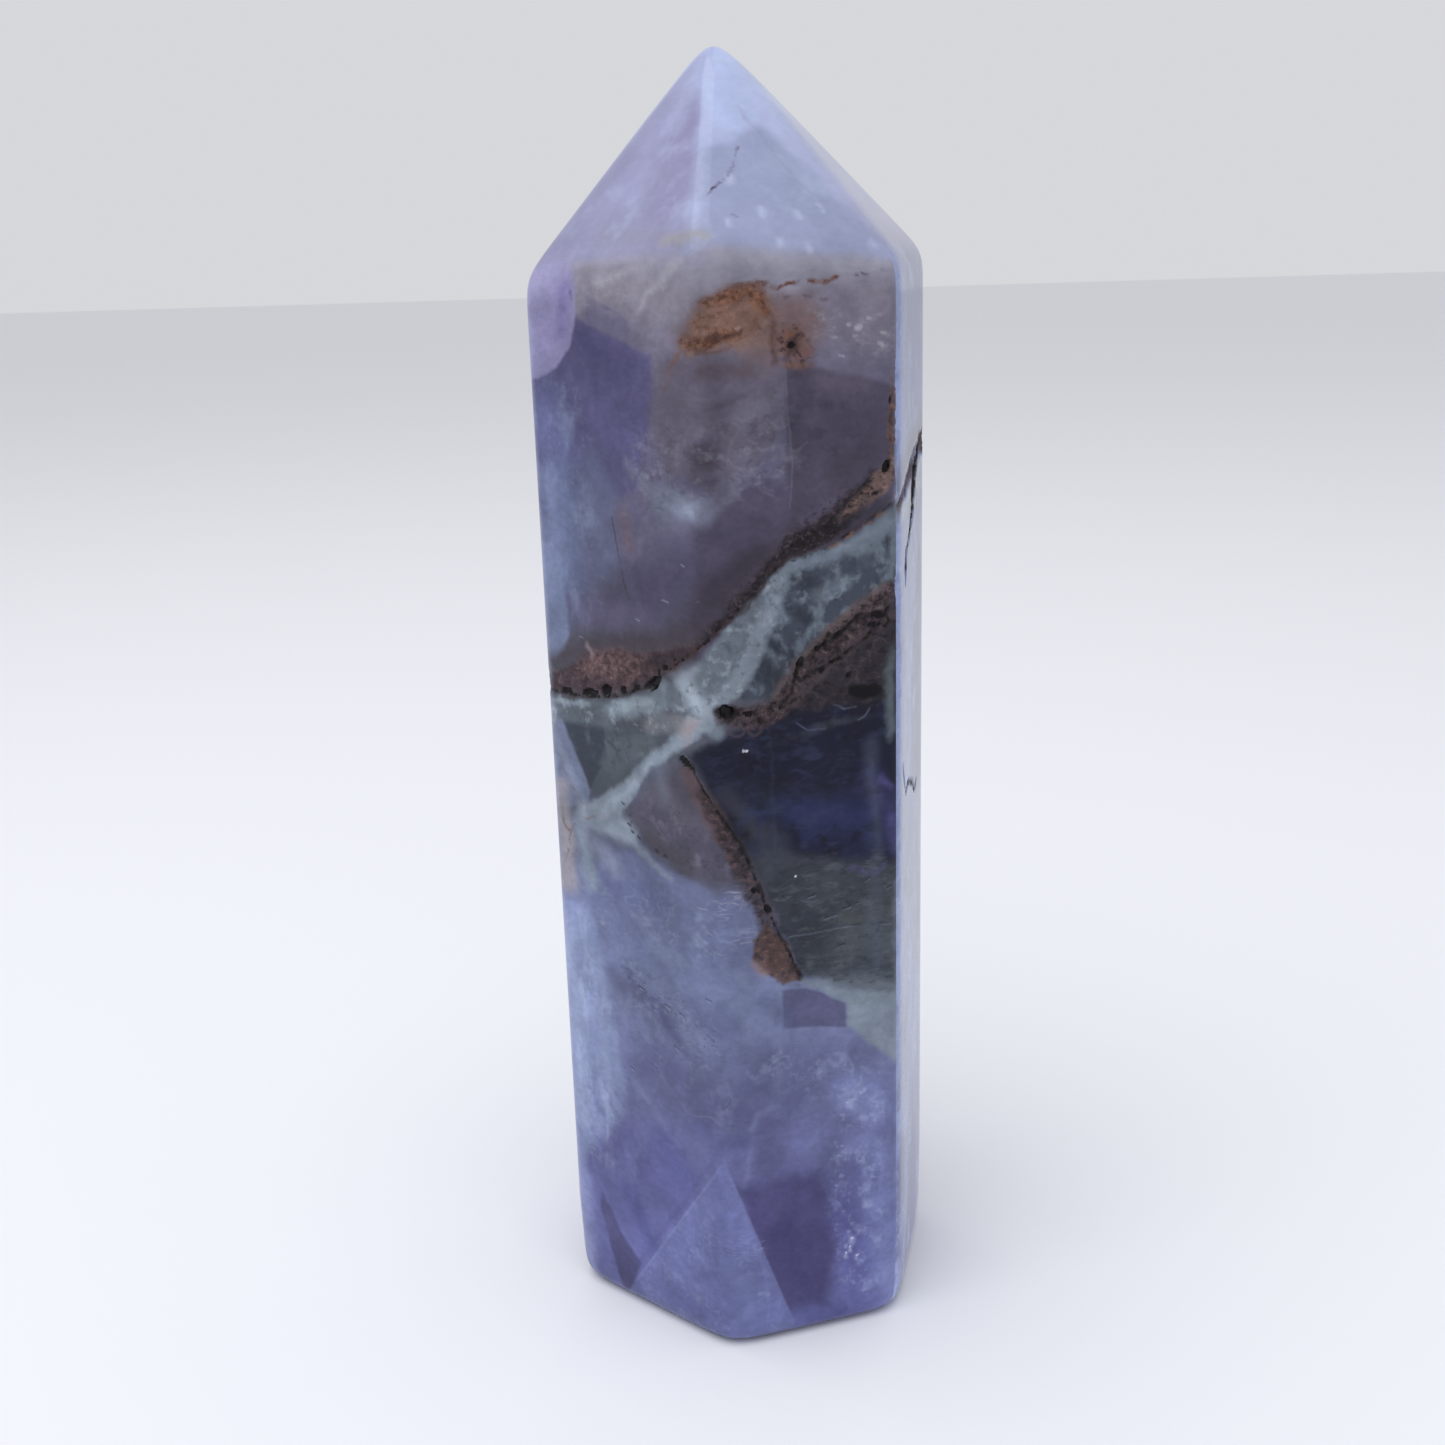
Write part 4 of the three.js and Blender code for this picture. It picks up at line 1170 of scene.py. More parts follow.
def left_middle(paint):
    """The left face under the seam: a grey-green block with a dark notch, and the vein down left."""
    paint.block("474e57", ((-13.9, 45.4), (-11.3, 40.2), (-9, 40), (-3.8, 44.8), (-5, 45.6)), 0.25, 0.95)
    paint.block("353b48", ((-11.3, 40.3), (-9.4, 43.1), (-9.6, 45.2), (-13.8, 45.3)), 0.15, 0.95)
    paint.block("525960", ((-8.8, 41.6), (-4.6, 44.4), (-5.8, 45.2), (-9.2, 44.4), (-10.2, 42.4)), 0.35, 0.7)
    mossy = paint.region((-11.4, 44), (-6, 44), 1.2, 1.2, 0.7)
    paint.wisps(mossy, "626b73", 0.9, 0.9, 0.45)
    paint.wisps(mossy, "2c3138", 0.8, 0.9, 0.45, 0.53, 0.66)
    paint.block("6f7892", ((-14.2, 46.4), (-15.6, 46.4), (-15.6, 38), (-11.4, 39.4), (-11.2, 40.3)), 0.2)
    paint.cloud("858da4", (-14.2, 43.5), (-12.6, 40), 0.35, 0.5, 0.7)
    paint.block("4d4958", (
        (-2.9, 44), (-8, 39.4), (-4, 36), (1.8, 35.4), (2.2, 38), (-1.2, 43)
    ), 0.6, 0.88, ragged=True)
    paint.cloud("5a5564", (-4.6, 41.2), (-2.8, 40), 0.8, 0.8, 0.6)
    paint.cloud("45434b", (-5.8, 38.2), (-2.4, 36.8), 0.6, 0.6, 0.7)
    purple = paint.region((-4.6, 39.6), (0, 37.4), 1.6, 1.4, 0.9)
    paint.wisps(purple, "757182", 1.3, 1, 0.5)
    paint.wisps(purple, "37353f", 0.7, 1.6, 0.45, 0.53, 0.67)
    paint.threads(purple, "76727f", 1.8, 2, 0.02, 0.45)
    field = (
        (-11.8, 29.6), (2.8, 28.6), (2.6, 31.6), (1, 34.8), (-4, 36), (-7, 36.6), (-9.5, 36.3), (-11.7, 34.2)
    )
    paint.block("666d8f", field, 0.45, 0.9, ragged=True)
    paint.cloud("5d648a", (-9.8, 34), (-5.8, 33.6), 0.9, 0.8, 0.6)
    paint.cloud("938f99", (-14.3, 40), (-14, 33), 0.9, 0.6, 0.9)
    paint.cloud("9a979f", (-14.2, 38), (-13.9, 34), 0.5, 0.6, 0.6)
    paint.cloud("8591a3", (-12.6, 37.6), (-11.8, 33.6), 0.6, 0.6, 0.9)
    paint.cloud("929dab", (-11.8, 38.4), (-7.8, 38), 0.8, 0.6, 0.95)
    paint.vein(
        "818c9b", ((-8.6, 38.4, 0.5), (-7.2, 37.4, 0.35), (-5.6, 36.2, 0.25), (-4, 35.4, 0.15)), 0.35, 0.8
    )
    vein = (
        (-0.6, 47.2, 0.8), (-2.4, 45.7, 0.6), (-3.8, 44.6, 0.45), (-5.5, 43.3, 0.45), (-7, 41.8, 0.55),
        (-8.8, 39.9, 0.9), (-10.6, 38.6, 1.1),
    )
    paint.vein("7c8794", vein, 0.25, 0.97)
    paint.vein(
        "96a1af", ((-2.8, 45.3, 0.1), (-5.6, 43.1, 0.12), (-8.6, 40.2, 0.35), (-10, 38.9, 0.4)), 0.3, 0.7
    )
    whitish = paint.vein_mask(paint.crisp, vein, 0.2)
    paint.wisps(whitish, "a3adb9", 0.6, 1, 0.5)
    paint.wisps(whitish, "616a76", 0.6, 1, 0.4, 0.54, 0.68)
    paint.cloud("93898e", (-2.6, 46), (-1.2, 47.2), 0.4, 0.5, 0.85)
    paint.spot("8a7a77", (-2.2, 45.2), (-1.8, 46.2), 0.12, 0.3, 0.6)
    paint.vein("76808c", ((0, 46.6, 0.5), (1, 45.9, 0.3), (1.8, 45.4, 0.1)), 0.4, 0.8)
    threads = ((-14.3, 38.8), (-14, 37.6), (-13.4, 36.9), (-13.7, 35.6), (-14.2, 34.6), (-14.7, 32.6))
    paint.rust_line("6b564f", threads, 0.08, 0.8)
    paint.rust_line("766259", ((-13.4, 37), (-12.6, 37.9), (-11.6, 38.2), (-10.9, 38.7)), 0.08, 0.7)
    paint.rust_line("7a6660", ((-14.6, 43), (-13.8, 41.6), (-12.6, 39.8), (-11.8, 39.2)), 0.08, 0.6)
    edge_dots = paint.vein_mask(paint.cloudy, ((-7.8, 39.2, 0.4), (-6, 37.8, 0.5), (-3.6, 36.4, 0.4)), 0.35)
    paint.specks(edge_dots, "1f1f26", 0.45, 0.35, 0.6, 0.85)
    for around, up in ((-7.8, 38.7), (-7.5, 38.3), (-6.9, 38), (-5.3, 37.3), (-4.6, 37), (-8.2, 39.9)):
        paint.spot("24232b", (around, up), (around + 0.16, up - 0.08), 0.09, 0.1, 0.9)
    scratched = paint.region((-0.4, 36.6), (2, 32.8), 1.3, 1.2, 0.7)
    paint.threads(scratched, "a5a3b4", 1.2, 3.5, 0.03, 0.7)
    for around, up, length, rise in (
        (-0.2, 38.9, 1.5, -0.1), (-0.4, 37, 1.6, 0.4), (0.2, 35.2, 1.5, 0.1), (0.6, 34.2, 1, 0.3),
        (-1.6, 33.9, 0.8, 0), (-1, 32.4, 1.4, -0.3), (0, 31.8, 1.6, -0.1), (1.6, 31.5, 2.2, 0),
    ):
        paint.crack(
            "9a98aa", ((around, up), (around + length / 2, up + rise), (around + length, up)), 0.03, 0.7
        )
    milky = paint.region((-9.5, 32), (-1, 31.6), 2.6, 2.4, 1.2)
    paint.wisps(milky, "8b94ae", 2.2, 1.4, 0.5)
    paint.frost(milky, "9aa3ba", 0.4, 0.3)
    paint.threads(milky, "8f97b2", 2.6, 1.6, 0.018, 0.45)


def red_seam(paint):
    """The thin red-brown seam that runs down from the knot to a rusty patch."""
    paint.vein(
        "57464a", ((-2.2, 43.2, 0.5), (-1.2, 41.8, 0.8), (-0.2, 40.4, 0.7), (0.6, 39, 0.5)), 0.4, 0.85
    )
    route = paint.vein("3c3135", RED_HALO, 0.35, 0.85)
    paint.crumble(route, "241b1e", "665253", 0.5, 0.6)
    patch = paint.block("53413f", (
        (2.4, 30.2), (3.4, 29), (4.6, 28), (6.1, 28), (4.9, 30.9), (3.5, 32.6), (2.5, 31.6)
    ), 0.2, 0.95, 1.5, ragged=True)
    paint.crumble(patch, "33272a", "755c56", 0.6, 0.6)
    paint.spot("87706e", (2.4, 30), (3.4, 29), 0.2, 0.3, 0.75)
    paint.spot("241c1e", (5.4, 29), (5.8, 28.3), 0.3, 0.25)
    paint.vein("151012", RED_SEAM, 0.14)
    paint.spot("0f0b0d", (-2.5, 44.1), (-1.7, 43.6), 0.25, 0.12, 0.95)
    paint.spot("0c0c10", (2.5, 35.2), (2.8, 35), 0.17, 0.12, 0.95)
    paint.spot("0f0d10", (1.8, 38.2), (2, 38), 0.14, 0.12, 0.95)


def lower_left(paint):
    """The left face below: violet, milky along the left edge, with a wedge of dark growth."""
    paint.cloud("6b7396", (-10, 28.6), (-2, 28.8), 1, 1.2)
    paint.cloud("7f88a6", (-6, 29.8), (1.5, 28.9), 0.35, 0.7, 0.7)
    paint.cloud("595b80", (-6, 20.5), (0.5, 19), 2.2, 2)
    paint.cloud("545676", (-9.6, 26.8), (-5, 24.6), 0.9, 0.9, 0.7)
    paint.vein("4e5078", ((-8.8, 27.6, 0.12), (-6.6, 26, 0.2), (-4, 23.6, 0.3), (-3.2, 22.6, 0.2)), 0.5, 0.7)
    milky = ((-16, 10), (-14, 10.8), (-9.4, 16.2), (-9.2, 19), (-10.3, 24.5), (-11.8, 31.5), (-16, 31.5))
    paint.block("828db2", milky, 0.6, ragged=True)
    paint.cloud("929dbc", (-14.4, 30), (-13.8, 14), 0.7, 0.8, 0.75)
    paint.cloud("8b96b6", (-12.2, 28), (-11.4, 19), 0.5, 0.8, 0.6)
    streaks = paint.region((-13, 29), (-12, 13), 2, 1.8, 1)
    paint.wisps(streaks, "a3aecb", 1.6, 0.4, 0.6)
    paint.wisps(streaks, "6b749c", 1.4, 0.4, 0.5, 0.54, 0.7)
    paint.frost(streaks, "a8b2cd", 0.5, 0.3)
    for around, up in ((-12.2, 15.8), (-11, 16.4), (-10.2, 17.4), (-12.9, 13.6)):
        paint.spot("575889", (around, up), (around + 0.7, up - 0.8), 0.12, 0.4, 0.7)
    paint.vein("7a84a8", ((-8.4, 19.2, 0.2), (-6, 16.6, 0.15), (-4.4, 15.3, 0.1)), 0.5, 0.5)
    paint.vein("6f73a0", ((-4.4, 15.3, 0.1), (-1.4, 13.4, 0.25), (0, 14.6, 0.1)), 0.4, 0.45)
    paint.cloud("5a5b8e", (-8.5, 13), (-5, 11), 1.8, 1.6)
    paint.cloud("767caa", (-14, 9), (-13.6, 3), 0.8, 0.9)
    wedge = ((-10.5, 0.4), (-9.9, 0.7), (-8.5, 3.9), (-10.4, 5.6), (-11.65, 4.55), (-11, 2.05))
    paint.block("504e77", ((-11.65, 4.4), (-10.4, 5.5), (-11.2, 7), (-12.3, 8.6), (-12.5, 7)), 0.22)
    paint.block("4b4870", wedge, 0.22, 0.9)
    broad = paint.region((-6.5, 24.5), (-1.5, 20), 3, 3, 1.4)
    paint.wisps(broad, "858eb0", 2.6, 1, 0.5)
    paint.frost(broad, "8d96b4", 0.4, 0.4)
    paint.threads(broad, "8d95b4", 3, 1, 0.016, 0.45)
    zone = paint.region((-8, 27.2), (-1, 24.4), 1.3, 1.3, 0.8)
    paint.frost(zone, "9aa3bc", 0.5, 0.6)
    paint.specks(zone, "38394f", 0.6, 0.26, 0.4, 0.7)
    paint.wisps(zone, "4a4b6b", 0.9, 2.2, 0.45, 0.52, 0.66)
    violet = paint.region((-9.5, 13.5), (-5.5, 7.5), 2.2, 2, 1.2)
    paint.wisps(violet, "7379a6", 1.8, 0.6, 0.5)
    for around, up, length in (
        (-5, 25.9, 0.5), (-3.6, 25.6, 0.4), (-1.2, 27.4, 0.5), (-8.6, 20, 0.3), (-4.2, 23, 0.3),
        (-7.4, 26.6, 0.5),
    ):
        paint.crack("30304a", ((around, up), (around + length, up - 0.15)), 0.05, 0.7)
        paint.crack("a3abc4", ((around + 0.1, up - 0.15), (around + length, up - 0.3)), 0.03, 0.6)


def lower_right(paint):
    """The right face below: violet with a dark block, a pale wedge and milky specks."""
    paint.cloud("5f6387", (3, 21.5), (7.5, 21), 2, 1.6)
    paint.block("535171", ((4.5, 24.8), (9.2, 24), (9.2, 25.9), (6.2, 27.5), (4.5, 27.6)), 0.14, 0.9)
    paint.cloud("64628a", (5.2, 25.6), (7.4, 25.2), 0.3, 0.5, 0.5)
    paint.block("7f8a98", ((9.2, 24.1), (14, 19.9), (14, 25.2), (9.2, 26.5)), 0.3, 0.95)
    paint.cloud("8d97a8", (11.6, 23.2), (13, 21.8), 0.6, 0.7, 0.7)
    paint.vein("78838f", ((6, 28, 0.16), (8.2, 26.9, 0.3), (10.4, 26, 0.5), (13.4, 25.4, 0.5)), 0.35, 0.95)
    paint.vein("868fae", (
        (4.3, 28, 0.1), (4.2, 24, 0.12), (3.9, 19, 0.15), (2.4, 18.6, 0.12), (1.5, 13.2, 0.12)
    ), 0.35, 0.35)
    paint.block("4e4b70", ((1.9, 13.5), (4.4, 13.6), (4.6, 18), (2.7, 18.6)), 0.7, 0.5)
    paint.cloud("6a719c", (6.5, 16.5), (7.2, 14.6), 0.9, 1, 0.5)
    paint.cloud("757da8", (9.5, 19), (12.4, 17.5), 1.2, 1.4)
    paint.cloud("7279a6", (11.6, 13.5), (12.2, 4.5), 1.1, 1.1, 0.85)
    dark = ((2.2, 2.4), (7.5, 2.1), (8.3, 6), (8.2, 9), (7.8, 11.4), (7, 13.4), (0.9, 13.3))
    paint.block("45416a", dark, 0.8, 0.9, ragged=True)
    paint.cloud("3e3a64", (4.2, 9.4), (6.2, 4.6), 0.9, 1, 0.7)
    paint.cloud("4f4f82", (8.6, 10.4), (9.8, 4.5), 0.9, 1.1, 0.7)
    upper = paint.region((4, 22), (11.6, 19), 1.8, 1.8, 1)
    paint.wisps(upper, "8992b4", 1.6, 1.2, 0.6)
    paint.frost(upper, "98a1c0", 0.5, 0.45)
    paint.threads(upper, "97a0bf", 2.2, 1, 0.02, 0.5)
    broad = paint.region((10, 17.6), (10, 4), 2, 1.8, 1)
    paint.wisps(broad, "939cc2", 1.3, 0.9, 0.6)
    paint.wisps(broad, "595d90", 1.2, 0.9, 0.4, 0.54, 0.7)
    paint.frost(broad, "a6afd0", 0.5, 0.5)
    column = paint.region((8.6, 16), (8.8, 8), 0.5, 0.5, 0.4)
    paint.specks(column, "a3abcf", 0.5, 0.4, 0.5, 0.8)
    for around, up, size in (
        (9.4, 7.2, 0.3), (9.75, 5.8, 0.24), (8.9, 6, 0.2), (8.9, 6.8, 0.18), (9.3, 6.5, 0.2),
        (8.3, 11, 0.12), (10.6, 9.8, 0.4), (8.6, 12.6, 0.12), (8.4, 15, 0.1), (9, 13.8, 0.1),
        (10.4, 16.8, 0.25), (9.4, 18, 0.3),
    ):
        paint.spot("aab3d4", (around, up), (around, up - 0.2), size * 0.4, size * 1.3, 0.7)
    for around, up, size in (
        (9.4, 7.25, 0.1), (9.75, 5.8, 0.07), (8.9, 6.1, 0.05), (9.25, 6.6, 0.05), (10.3, 16.9, 0.05),
        (9.2, 18.2, 0.05),
    ):
        paint.spot("dbe2f4", (around, up), (around + 0.05, up), size, 0.08, 0.9)


def painted_foot_reflection(paint):
    """A painted reflection at the foot of the near edge: the pale three-sided zone is the stone's foot seen
    through the front faces by internal reflection, painted on, with painted highlights along its rims.
    """
    outline = ((-10.4, 0.2), (5.2, 0), (-0.1, 15.4))
    zone = paint.block_mask(paint.point, outline, 0.14, 20)
    paint.lay(zone, "686d9d", 0.9)
    paint.block("7076a6", ((0.2, 0), (5, 0), (0.2, 14.4)), 0.35, 0.5)
    paint.cloud("787fae", (0.2, 6.6), (2, 3.4), 0.8, 1, 0.6)
    paint.cloud("5f6292", (-5, 2.6), (-1.5, 2), 0.8, 1.2, 0.6)
    # Painted highlight along the left rim of the reflected foot, with a darker line just outside it.
    rim = paint.vein_mask(paint.point, ((-9.2, 2, 0.05), (-0.2, 15.1, 0.05)), 0.16)
    paint.lay(rim, "8288b6", 0.55)
    paint.vein("4b4e80", ((-9.9, 2.2, 0.1), (-5.5, 8.5, 0.1), (-0.6, 15.8, 0.05)), 0.35, 0.55)
    # Painted highlight along the right rim of the reflected foot.
    painted_right_rim_highlight = paint.vein_mask(paint.point, ((-0.1, 15.3, 0.05), (5.05, 0.6, 0.06)), 0.16)
    paint.lay(painted_right_rim_highlight, "7c82b0", 0.6)
    paint.crack("787eac", ((2.6, 6.4), (3, 3.6), (2.8, 1)), 0.1, 0.4)
    paint.spot("9aa2c6", (2.2, 4.3), (2.8, 4), 0.12, 0.25, 0.6)
    inside = paint.block_mask(paint.crisp, outline, 0.5, 6)
    paint.wisps(inside, "8289b3", 1.8, 1, 0.4)
    paint.frost(inside, "8f96be", 0.4, 0.35)
    flecks = paint.streak_mask(paint.crisp, (-1.5, 8.4), (1.8, 8), 0.9, 0.9, 0.5)
    paint.wisps(flecks, "8c92bc", 0.6, 5, 0.6)


def tip(paint):
    """The tip: pale lavender on the left facet, bluish white on the right one; the bluish white is partly
    the pale quartz and partly painted reflection of the light from above.
    """
    paint.block("8d8cab", ((-15, 75.4), (-1, 76.4), (0, 89.5)), 0.5, depth=3)
    paint.cloud("8a85a8", (-2.6, 83.5), (-3.4, 79), 1.2, 1.6, 0.75)
    paint.cloud("a09fc4", (-9, 80), (-7, 83.5), 1, 1.4, 0.6)
    # Bluish white near the apex: partly pale quartz, partly painted reflection of the light from above.
    paint.cloud("aeb8da", (-5, 86.5), (-3.6, 88.5), 0.8, 1.4, 0.7)
    paint.cloud("8c8ba0", (-9, 77.2), (-3, 77.2), 0.7, 0.9, 0.7)
    paint.block("9198b6", ((-0.6, 76.4), (13.5, 75.3), (8.2, 83.6), (-0.4, 82.2)), 0.5)
    # Bluish white on the right facet up to the apex: partly pale quartz, partly painted reflection of the
    # light from above.
    paint.block("a9b5d9", ((-0.2, 82.4), (3.4, 82.6), (7.6, 84.2), (6.4, 90), (0, 90)), 0.6)
    paint.cloud("adb9dc", (1.2, 86.4), (2.6, 84), 0.8, 1, 0.7)
    paint.cloud("8a92ae", (6.6, 79.4), (9.6, 78.6), 0.8, 1.2, 0.6)
    paint.cloud("9ea6c2", (8.5, 81.5), (10.5, 79.5), 0.6, 1, 0.6)
    for around, up, size in (
        (2.6, 80.4, 0.35), (4.8, 78.4, 0.25), (7.6, 78.2, 0.3), (9.8, 78.6, 0.2), (2.2, 77.9, 0.25),
        (7.4, 76.4, 0.3), (5.6, 76.7, 0.3), (12.2, 76.4, 0.3),
    ):
        paint.spot("bec5de", (around, up), (around, up - 0.3), size * 0.5, size * 1.2, 0.6)
    facets = paint.block_mask(paint.cloudy, ((-15, 75.4), (13, 75.4), (0, 89.5)), 0.8, 20)
    paint.wisps(facets, "aeb6d4", 3, 1, 0.35)
    paint.vein("a9b2d2", ((-0.1, 77, 0.2), (0, 82, 0.15), (0, 88.5, 0.2)), 0.3, 0.8)
    paint.spot("96938f", (-2.6, 76.8), (0.6, 77), 0.3, 0.5, 0.75)
    paint.spot("8b8a7e", (-1.8, 76.7), (-1.2, 76.6), 0.12, 0.3, 0.6)
    paint.rust_line(
        "6f6880", ((4, 82.3), (3.3, 81.7), (2.9, 81), (2.1, 80.3), (1.2, 79.8), (0.4, 79.1)), 0.1, 0.8
    )
    paint.spot("4a4252", (1.3, 79.85), (1.1, 79.75), 0.12, 0.12, 0.9)
    paint.spot("6a6576", (2.6, 78.2), (2.8, 78.1), 0.08, 0.12, 0.6)
    paint.vein("8e90a8", ((5.4, 84.8, 0.06), (9.2, 80, 0.08), (12.4, 76, 0.08)), 0.25, 0.5)


def far_right_face(paint):
    """The face past the right edge: milky, with black iron where the seam ends. Its blue is partly its own
    colour and partly painted reflection of the pale room, which it shows at a grazing view, and it is
    painted lighter along the right edge as a highlight.
    """
    if paint.faces != FACES_BEHIND:
        return
    face = paint.block_mask(paint.cloudy, ((8, -6), (26.6, -6), (26.6, 76), (8, 76)), 1.8, 3)
    # Bluish: partly the face's own milky colour, partly painted reflection of the pale room at a grazing
    # view.
    paint.lay(face, "8390c0", 0.62)
    # Painted highlight: lighter along the right edge, the whole height of the face.
    paint.vein("a3b0da", ((13.3, -2, 0.6), (13.3, 74, 0.6)), 1.2, 0.7)
    paint.cloud("8f9bc4", (16, 70), (18, 36), 1.6, 2.6, 0.55)
    paint.cloud("99a5cc", (15.6, 30), (16.6, 6), 1.2, 2.2, 0.55)
    paint.cloud("6f76a0", (22, 71), (24, 66), 2.2, 2.2, 0.7)
    paint.block("545a74", ((19.4, 40.5), (27, 34), (30, 40), (30, 53), (24, 56), (20.6, 50)), 0.7, 0.7)
    paint.block("6c7690", ((16.2, 33), (21.5, 24.5), (26.5, 27), (24.5, 34.5), (19, 38.5)), 0.5, 0.6)
    paint.block("5a5a8e", ((15.6, 0), (25.4, 0), (21.2, 15.6)), 0.25, 0.75)
    paint.block("6f74a6", ((22, 0), (30, 0), (27.6, 11)), 0.3, 0.7)
    paint.block("4f4d80", ((13, 2), (15.8, 5), (16.6, 12.6), (14.4, 14.2), (13, 12)), 0.4, 0.6)
    under = (
        (13.2, 59.6, 0.7), (15.6, 59.2, 0.6), (18.4, 59.6, 0.5), (21.6, 59.4, 0.9), (24.6, 60.6, 1.1),
        (27.2, 60.8, 1),
    )
    white = paint.vein("8791a0", under, 0.35, 0.85)
    paint.wisps(white, "a7b0bd", 1.2, 1, 0.7, 0.44, 0.6)
    paint.wisps(white, "59606c", 0.9, 1, 0.5, 0.53, 0.66)
    paint.vein(
        "8c97aa", ((19, 57.6, 0.5), (19.8, 52.4, 0.3), (18.2, 47.4, 0.4), (19.4, 42.8, 0.2)), 0.5, 0.6
    )
    paint.wisps(face, "b0bcdc", 2.4, 0.7, 0.5)
    paint.wisps(face, "5a618c", 2, 0.7, 0.45, 0.52, 0.68)
    paint.frost(face, "bac5e2", 0.5, 0.35)
    paint.vein("4c444c", [(around, up + 1.3, 0.9) for around, up, _ in SEAM_BEHIND[:3]], 0.9, 0.6)
    end = (
        (27.2, 62.9, 0.9), (25.4, 62.6, 0.8), (23.9, 62.9, 0.7), (22.8, 62, 0.6), (21.2, 61.2, 0.8),
        (20, 60.2, 0.8),
    )
    rough = paint.vein("4a3d40", end)
    paint.crumble(rough, "1a1517", "6c5753")
    start = paint.vein("574649", ((13.2, 59.9, 0.4), (16, 60.7, 0.4), (20.4, 61.6, 0.6)), 0.3, 0.85)
    paint.crumble(start, "231c1e", "75605b")
    paint.vein("0d0d11", END_CREVICE, 0.15, 0.97)
    paint.vein("1a1c22", ((21.6, 60.4, 0.3), (22.6, 59.2, 0.25), (22.2, 58.2, 0.15)), 0.15)
    paint.vein("16161d", ZIGZAG_CRACK, 0.12, 0.95)
    for around, up, size in (
        (21, 51.9, 0.12), (22.7, 49.3, 0.16), (22, 47.2, 0.1), (20.2, 46.5, 0.14), (25, 38.5, 0.2),
        (18.4, 33, 0.1), (21.4, 28.6, 0.12),
    ):
        paint.spot("33364c", (around, up), (around + 0.5, up + 0.1), size, 0.15, 0.7)


def chevrons_behind(paint):
    """The growth on the faces behind: phantoms and broken chevrons, between cloudy blocks."""
    if paint.faces != FACES_BEHIND:
        return
    left_to_right = (
        (27.5, 16), (30.4, 20.8), (34.2, 13.4), (38.4, 19.6), (41.6, 15.2), (45, 21.2), (49.6, 13.8)
    )
    onward = ((49.6, 13.8), (52.4, 18.8), (56.6, 14.6), (60.2, 21.4), (64.2, 16.4), (67, 19.4), (69.4, 15.4))
    for places in (left_to_right, onward):
        for rise, colour, width, softness, grain, shows in (
            (-1.6, "54528a", 1.2, 1.2, 3, 0.7), (1, "a0a8ca", 0.5, 0.7, 1.6, 0.75),
            (3.2, "5a598c", 0.8, 1, 2.6, 0.6), (5.6, "98a1c4", 0.4, 0.8, 1.8, 0.55),
        ):
            route = [(around, up + rise * (0.7 + 0.02 * up), width) for around, up in places]
            paint.wisps(paint.vein_mask(paint.cloudy, route, softness), colour, grain, 1, shows, 0.36, 0.56)
    paint.block("6a6fa0", ((28.4, 0.2), (40.6, 0), (35.2, 14)), 0.2, 0.8)
    paint.block("56558c", ((42.2, 0), (53, 0.2), (49, 10.6)), 0.25, 0.7)
    paint.block("7277a8", ((51.4, 0.2), (65.4, 0), (58.2, 16.4)), 0.18, 0.8)
    paint.block("514e84", ((63, 0), (70, 0), (70, 11.6)), 0.35, 0.6)
    paint.block("434a5e", ((29.5, 39), (38, 33.5), (43.5, 40), (41, 51), (34, 53), (29, 50)), 0.8, 0.8)
    paint.cloud("2c3246", (35, 44), (41, 39.5), 1.8, 2.2, 0.85)
    paint.block("4f4e62", ((44, 42), (50.5, 35.5), (56.5, 39), (55, 47), (48.5, 50.5)), 0.6, 0.75)
    paint.block("5a6178", ((57, 36), (63, 30.5), (68.5, 34), (67, 42), (60, 43.5)), 0.7, 0.7)
    paint.block("504d72", ((29.5, 65.5), (36, 62.6), (43, 64), (42, 70), (33.5, 72)), 0.5, 0.8)
    paint.block("65628a", ((38, 64.5), (46, 60.4), (50, 64.4), (46.4, 70.6), (41, 70.4)), 0.5, 0.5)
    paint.block("5a5878", ((47.4, 60.5), (54.5, 54.6), (60, 59), (58, 66), (51, 68.5)), 0.6, 0.7)
    paint.block("74729a", ((55.6, 69.4), (60, 66.6), (66.5, 68.6), (65, 73.6), (58.6, 74.8)), 0.7, 0.6)
    paint.cloud("7f86aa", (58, 61), (66, 56), 2.2, 2.4, 0.7)
    paint.cloud("8890b0", (30, 57.5), (33, 55.5), 0.9, 1.2, 0.5)
    paint.cloud("71696e", (44, 73.4), (51, 73), 0.9, 1, 0.6)
    paint.cloud("6b7494", (44.5, 30), (53, 27), 2, 2.6, 0.6)
    paint.cloud("7c84a8", (57, 28), (66, 26), 1.6, 2.2, 0.6)
    for middle, low, high, colour in ((34, 4, 34, "98a1c6"), (47, 4, 32, "8f98be"), (60, 4, 34, "9aa3c8")):
        band = paint.region((middle, high), (middle + 1.5, low), 3.6, 4.2, 1.8)
        paint.wisps(band, colour, 2.4, 0.8, 0.55)
        paint.wisps(band, "4f5080", 1.8, 0.8, 0.4, 0.53, 0.68)
        paint.frost(band, colour, 0.5, 0.45)
    for middle, low, high in ((35, 64, 70), (48, 58, 66), (61, 52, 66), (40, 36, 50), (62, 34, 42)):
        band = paint.region((middle, high), (middle, low), 3, 3, 1.8)
        paint.wisps(band, "8285a0", 1.8, 1, 0.45)
        paint.wisps(band, "3c3a50", 1.5, 1, 0.4, 0.54, 0.7)


